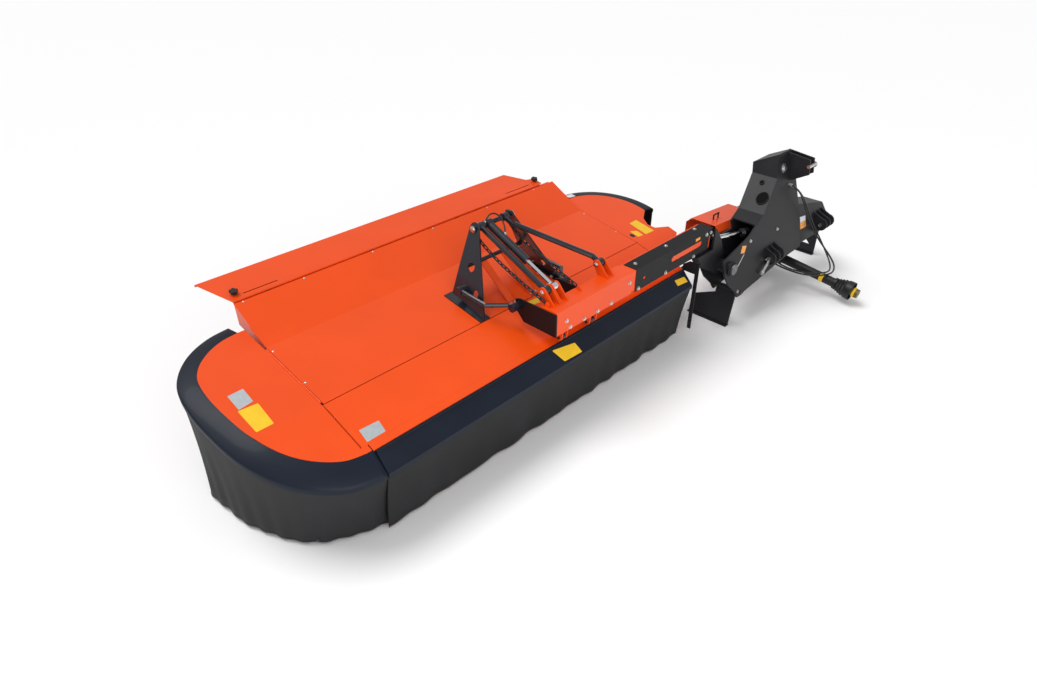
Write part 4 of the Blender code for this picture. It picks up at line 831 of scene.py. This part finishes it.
# Stay beside the front band
# An upright of thick plate in dark paint, with a welded foot. It closes the gap beside the curtain
# and guards the drive from stones.
charcoal_paint = finish(
    "charcoal_paint", (0.016, 0.0157, 0.018), 0.44, coat=0.03, mottle=0.15, scale=4.0, bump=0.12,
    shine=0.22,
)
dress(charcoal_paint, "arm_knuckle", "stand_near", "stand_far")
stay = bmesh.new()
stay_line = [
    (-0.455, 0.08), (-0.42, 0.08), (-0.42, 0.60), (-0.30, 0.60), (-0.30, 0.655), (-0.36, 0.70),
    (-0.455, 0.70),
]
add_plate(stay, stay_line, (1.700, 0, 0), (0, 1, 0), (0, 0, 1), 0, 0.008)
stay_foot = oblong(1.640, 1.704, 0.598, 0.640)
add_plate(stay, stay_foot, (0, -0.31, 0), (1, 0, 0), (0, 0, 1), -0.008, 0)
fit_piece("front_stay", stay, charcoal_paint, "arm", 0.0015)

# Headstock
# Welded from thick charcoal plate that leans back, with a sloping cap. Its bolts, boss, hose nuts
# and the link pin that hangs on its front are zinc plated.
face_normal = (0, -1, lean)
cap_front, cap_rear = (-0.3364, 1.2707), (-0.1194, 1.1622)
cap_run = (cap_rear[0] - cap_front[0], cap_rear[1] - cap_front[1])
cap_way = Vector((0, *cap_run)).normalized()
cap_normal = Vector((1, 0, 0)).cross(cap_way)
head = bmesh.new()
head.from_mesh(cad["head_frame"].data)
head.transform(cad["head_frame"].matrix_world)
whole = head.verts[:] + head.edges[:] + head.faces[:]
cut = {"plane_co": (0, *cap_front), "plane_no": cap_normal, "clear_outer": True}
bmesh.ops.bisect_plane(head, geom=whole, **cut)
cap_end = math.hypot(*cap_run) + 0.001
cap_line = [(3.034, -0.001), (3.261, -0.001), (3.299, cap_end), (2.995, cap_end)]
add_plate(head, cap_line, (0, *cap_front), (1, 0, 0), cap_way, 0.0004, -0.012)
fit_piece("head_frame_body", head, charcoal_paint, "headstock", 0.0015, ["head_frame"])
fittings = bmesh.new()
face_bolts = ((2.895, 0.654), (2.134, 0.341), (2.420, 0.690))
add_bolts(fittings, [(x, face_y(z), z) for x, z in face_bolts], face_normal, 0.012)
pin_top = (2.650, -0.616, 0.449)
add_rod(fittings, pin_top, (2.512, -0.634, 0.391), 0.013, sides=16)
add_rod(fittings, pin_top, (2.650, face_y(0.449) + 0.002, 0.452), 0.007, sides=12)
add_rod(fittings, (2.525, -0.632, 0.396), (2.498, -0.636, 0.385), 0.020, sides=16)
hose_ends = (
    ((3.165, -0.423, 0.985), (3.169, -0.458, 0.981)),
    ((3.215, -0.432, 0.955), (3.220, -0.466, 0.949)),
    ((3.100, -0.321, 0.240), (3.099, -0.354, 0.233)),
    ((3.140, -0.321, 0.275), (3.139, -0.354, 0.265)),
)
for start, end in hose_ends:
    add_rod(fittings, start, end, 0.012, sides=6)
boss = Vector((3.099, face_y(1.14), 1.14))
boss_way = Vector(face_normal).normalized()
for near, far, radius in ((0.0, 0.006, 0.044), (0.006, 0.010, 0.034), (0.010, 0.020, 0.020)):
    add_rod(fittings, boss + boss_way * near, boss + boss_way * far, radius, sides=28)
# Painted highlight: a flat zinc sliver on the face stands in for the bright lit edge of a plate.
glint_strip_line = [(2.300, 0.610), (2.296, 0.617), (2.160, 0.541), (2.164, 0.534)]
stretch = math.hypot(1, lean)
glint_strip_line = [(x, z * stretch) for x, z in glint_strip_line]
add_plate(fittings, glint_strip_line, (0, face_y(0), 0), (1, 0, 0), (0, lean, 1), 0, 0.001)
fit_piece("headstock_fittings", fittings, zinc, "headstock", 0.0008)
rims = bmesh.new()
turns = [math.tau * i / 32 for i in range(32)]
hub = Vector((pivot_x, face_y(pivot_z) - 0.016, pivot_z))
hub_ring = [hub + Vector((math.cos(a) * 0.062, 0, math.sin(a) * 0.062)) for a in turns]
add_loop(rims, hub_ring, (0, 1, 0), 0.006)
wall_normal = Vector((-0.637, 0, 0.771))
wall_way = Vector((0.771, 0, 0.637))
level = Vector((0, 1, 0))
hollows = (
    (Vector((2.790, -0.372, 0.940)), 0.062, 0.052),
    (Vector((2.905, -0.285, 1.035)), 0.020, 0.018),
)
for centre, long_r, short_r in hollows:
    seat = centre + wall_normal * 0.002
    rim = [seat + wall_way * math.cos(a) * long_r + level * math.sin(a) * short_r for a in turns]
    add_loop(rims, rim, wall_normal, 0.004)
fit_piece("headstock_rims", rims, charcoal_paint, "headstock")
# Painted shade: near-black discs in the two hollows of the sloping wall stand in for their depth.
hollow_shade_paint = finish(
    "hollow_shade_paint", (0.004, 0.004, 0.004), 0.8, mottle=0.3, scale=8.0, bump=0.2, shine=0.1
)
shade = bmesh.new()
for centre, long_r, short_r in hollows:
    disc = [(math.cos(a) * (long_r - 0.001), math.sin(a) * (short_r - 0.001)) for a in turns]
    add_plate(shade, disc, centre, wall_way, level, -0.001, 0.0016)
fit_piece("headstock_hollow_shades", shade, hollow_shade_paint, "headstock")

# Pins and rods
# Plain turned steel, zinc plated where it shows, hard chromed on the cylinder rods. The pins sit in
# the bored ears and bushes of the welded parts.
dull_zinc = finish(
    "dull_zinc", (0.20, 0.20, 0.20), 0.45, metallic=0.9, mottle=0.25, scale=30.0, bump=0.1
)
dress(dull_zinc, "fold_pin")
dress(zinc, "lower_hitch_pin_near", "lower_hitch_pin_far", "top_link_pin")
chrome = finish("hard_chrome", (0.80, 0.80, 0.82), 0.08, metallic=1.0, mottle=0.03, scale=8.0)
dress(chrome, "lift_rod", "suspension_rod")

# Drive
# Cast gearboxes, and the shafts between them under black moulded guards with yellow locking rings.
# A handle of bent rod stands on the sheet guard over the drive.
cast_paint = finish(
    "cast_paint", (0.030, 0.031, 0.033), 0.55, mottle=0.25, scale=9.0, bump=0.4, grain=180.0
)
dress(cast_paint, "drive_gearbox", "mower_gearbox")
guard_plastic = finish(
    "guard_plastic", (0.010, 0.010, 0.011), 0.42, mottle=0.2, scale=12.0, bump=0.25, shine=0.35
)
dress(guard_plastic, "drive_shaft_guard", "driveline_cone", "flap_knob_left", "flap_knob_right")
joint_steel = finish(
    "joint_steel", (0.16, 0.13, 0.045), 0.45, metallic=0.6, mottle=0.3, scale=25.0, bump=0.2
)
dress(joint_steel, "pto_shaft")
pto_start, pto_end = Vector((3.25, -0.335, 0.236)), Vector((3.25, -1.270, 0.117))
pto_way = (pto_end - pto_start).normalized()
sticker_yellow = finish(
    "sticker_yellow", (0.85, 0.52, 0.004), 0.35, coat=0.2, mottle=0.05, scale=10.0, bump=0.03,
    shine=0.4,
)


def add_turned(shape, start, way, profile, sides=40):
    """A body turned about an axis from a closed profile of (run along it, radius)."""
    side = way.cross(Vector((1, 0, 0))).normalized()
    other = way.cross(side)
    rings = [
        add_ring(shape, start + way * run, side, other, radius, sides)
        for run, radius in profile
    ]
    join_rings(shape, rings)


sleeve = [
    (0.020, 0.086), (0.045, 0.084), (0.060, 0.076), (0.075, 0.078), (0.090, 0.069), (0.105, 0.071),
    (0.120, 0.061), (0.160, 0.056), (0.164, 0.043), (0.700, 0.043), (0.702, 0.054), (0.728, 0.056),
    (0.732, 0.050), (0.744, 0.064), (0.756, 0.058), (0.770, 0.072), (0.782, 0.066), (0.798, 0.080),
    (0.812, 0.075), (0.830, 0.086), (0.884, 0.088), (0.884, 0.083), (0.830, 0.080), (0.740, 0.046),
    (0.700, 0.030), (0.160, 0.030), (0.030, 0.078), (0.020, 0.078),
]
guard = bmesh.new()
add_turned(guard, pto_start, pto_way, sleeve)
fit_piece("pto_guard_sleeve", guard, guard_plastic, "headstock", 0, ["pto_guard"])
ring = bmesh.new()
add_rod(ring, pto_start + pto_way * 0.560, pto_start + pto_way * 0.598, 0.0448, sides=32)
fit_piece("guard_ring", ring, sticker_yellow, "headstock", 0.002)
collar = bmesh.new()
add_turned(
    collar, pto_start, pto_way, [(0.893, 0.0424), (0.893, 0.047), (0.915, 0.047), (0.915, 0.0424)]
)
fit_piece("shaft_lock_collar", collar, sticker_yellow, "pto", 0.001)
cone_ribs = bmesh.new()
for i in range(4):
    ends = [(x + 0.012 * i, -0.020, pivot_z) for x in (1.977, 1.982)]
    add_rod(cone_ribs, *ends, 0.098 - 0.010 * i, sides=32)
fit_piece("cone_ribs", cone_ribs, guard_plastic, "arm", 0.0015)
handle = bmesh.new()
grip_y, grip_z = -0.050, 0.752
for x in (2.555, 2.635):
    add_rod(handle, (x, grip_y, 0.700), (x, grip_y, grip_z), 0.007, sides=12)
add_rod(handle, (2.548, grip_y, grip_z), (2.642, grip_y, grip_z), 0.007, sides=12)
fit_piece("guard_handle", handle, guard_plastic, "headstock", 0.001)

# Cutter bar, discs, rotor and frame under the hood
# The flat gear case on its wear shoes carries the discs, and the tined rotor turns behind it in the
# welded frame. Discs and rotor are of bare steel, the rest is painted dark grey.
bare_steel = finish(
    "bare_steel", (0.42, 0.41, 0.39), 0.38, metallic=0.9, mottle=0.2, scale=14.0, bump=0.1
)
dress(bare_steel, *[f"disc_{i}" for i in range(1, 9)], "conditioner_rotor")
frame_paint = finish("frame_paint", (0.030, 0.031, 0.034), 0.50, mottle=0.2, scale=5.0, bump=0.15)
dress(frame_paint, "mower_frame", "cutter_bar", "swath_board_left", "swath_board_right")

# Stickers and plates
# Vinyl stickers, reflectors and thin aluminium plates, stuck to the paint. All of them are blank,
# with rounded corners.
plate_silver = finish(
    "plate_silver", (0.42, 0.46, 0.48), 0.45, metallic=0.3, mottle=0.06, scale=40.0, bump=0.05
)
reflector_white = finish(
    "reflector_white", (0.75, 0.76, 0.78), 0.25, coat=0.6, mottle=0.05, scale=60.0, bump=0.3,
    grain=900.0,
)
reflector_amber = finish(
    "reflector_amber", (0.90, 0.30, 0.006), 0.25, coat=0.6, mottle=0.08, scale=60.0, bump=0.3,
    grain=900.0,
)


def stick(name, corners, material, body, lift=0.0006, rounding=0.045):
    """A thin sheet with rounded corners between four corners on a surface."""
    a, b, c, d = (Vector(p) for p in corners)
    normal = (b - a).cross(c - a).normalized()
    if normal.z < 0 or (abs(normal.z) < 0.35 and normal.y > 0):
        normal = -normal
    plan = []
    for cu, cv, start in ((1, 1, 0), (0, 1, 90), (0, 0, 180), (1, 0, 270)):
        for k in range(4):
            turn = math.radians(start + 30 * k)
            u = cu + (rounding if cu == 0 else -rounding) + rounding * math.cos(turn)
            v = cv + (rounding if cv == 0 else -rounding) + rounding * math.sin(turn)
            plan.append(a.lerp(b, u).lerp(d.lerp(c, u), v))
    shape = bmesh.new()
    low = [shape.verts.new(p + normal * 0.0001) for p in plan]
    high = [shape.verts.new(p + normal * lift) for p in plan]
    shape.faces.new(low)
    shape.faces.new(high)
    for i in range(len(plan)):
        j = (i + 1) % len(plan)
        shape.faces.new((low[i], low[j], high[j], high[i]))
    fit_piece(name, shape, material, body)


band_run, band_drop = 0.101, 0.108


def band_z(y):
    """Height of the front band, which slopes down from the hood's front edge."""
    return band_top[1] + (y - band_top[0]) * band_drop / band_run


on_hood = (
    (
        "plate_outer", "outer_guard", plate_silver, end_z,
        ((-1.897, 0.472), (-1.797, 0.475), (-1.803, 0.349), (-1.901, 0.335)),
    ),
    (
        "sticker_outer", "outer_guard", sticker_yellow, end_z,
        ((-1.912, 0.330), (-1.791, 0.318), (-1.804, 0.125), (-1.913, 0.125)),
    ),
    (
        "plate_front", "arm", plate_silver, hood_z,
        ((-1.453, -0.179), (-1.318, -0.186), (-1.332, -0.269), (-1.463, -0.271)),
    ),
    (
        "sticker_tie", "arm", sticker_yellow, hood_z,
        ((0.194, 0.061), (0.301, 0.055), (0.281, 0.009), (0.193, 0.025)),
    ),
    (
        "sticker_inner_big", "arm", sticker_yellow, end_z,
        ((1.755, 0.318), (1.853, 0.319), (1.844, 0.116), (1.734, 0.121)),
    ),
    (
        "sticker_inner_small", "arm", sticker_yellow, end_z,
        ((1.649, 0.232), (1.710, 0.201), (1.701, 0.126), (1.640, 0.133)),
    ),
    (
        "sticker_band", "front_guard", sticker_yellow, band_z,
        ((0.008, -0.363), (0.222, -0.386), (0.242, -0.442), (0.060, -0.438)),
    ),
    (
        "sticker_band_right", "front_guard", sticker_yellow, band_z,
        ((1.472, -0.377), (1.598, -0.386), (1.607, -0.420), (1.474, -0.412)),
    ),
)
for name, body, material, height, corners in on_hood:
    stick(name, [(x, y, height(y)) for x, y in corners], material, body)
spot = ((1.590, 0.200), (1.632, 0.205), (1.636, 0.152), (1.594, 0.148))
stick("spot_inner", [(x, y, end_z(y)) for x, y in spot], guard_plastic, "arm", rounding=0.45)
near_end, far_end = math.radians(86), math.radians(77)
rim_dip, patch_lift = 0.0042, 0.0026
patch = []
for angle, radius in ((near_end, 0.474), (far_end, 0.474), (far_end, 0.540), (near_end, 0.540)):
    slope = (radius - inside_radius) / (rim_radius - inside_radius) * rim_dip
    height = band_height(round_inner(angle, inside_radius).y) - band_sink - slope + patch_lift
    patch.append((*round_inner(angle, radius), height))
stick("reflector_band", patch, reflector_white, "arm")
on_head = (
    (
        "reflector_head", reflector_amber, 0.0,
        ((2.285, 0.690), (2.350, 0.672), (2.305, 0.622), (2.243, 0.636)),
    ),
    (
        "reflector_wing_low", reflector_amber, 0.03,
        ((3.370, 0.555), (3.505, 0.545), (3.505, 0.490), (3.365, 0.495)),
    ),
    (
        "reflector_wing_high", reflector_white, 0.03,
        ((3.375, 0.612), (3.505, 0.596), (3.505, 0.547), (3.370, 0.557)),
    ),
)
for name, material, depth, corners in on_head:
    stick(name, [(x, face_y(z, depth), z) for x, z in corners], material, "headstock")
on_cover = [(x, cover_face, z) for x, z in oblong(1.670, 1.735, 0.925, 0.900)]
stick("sticker_cover", on_cover, reflector_amber, "arm")
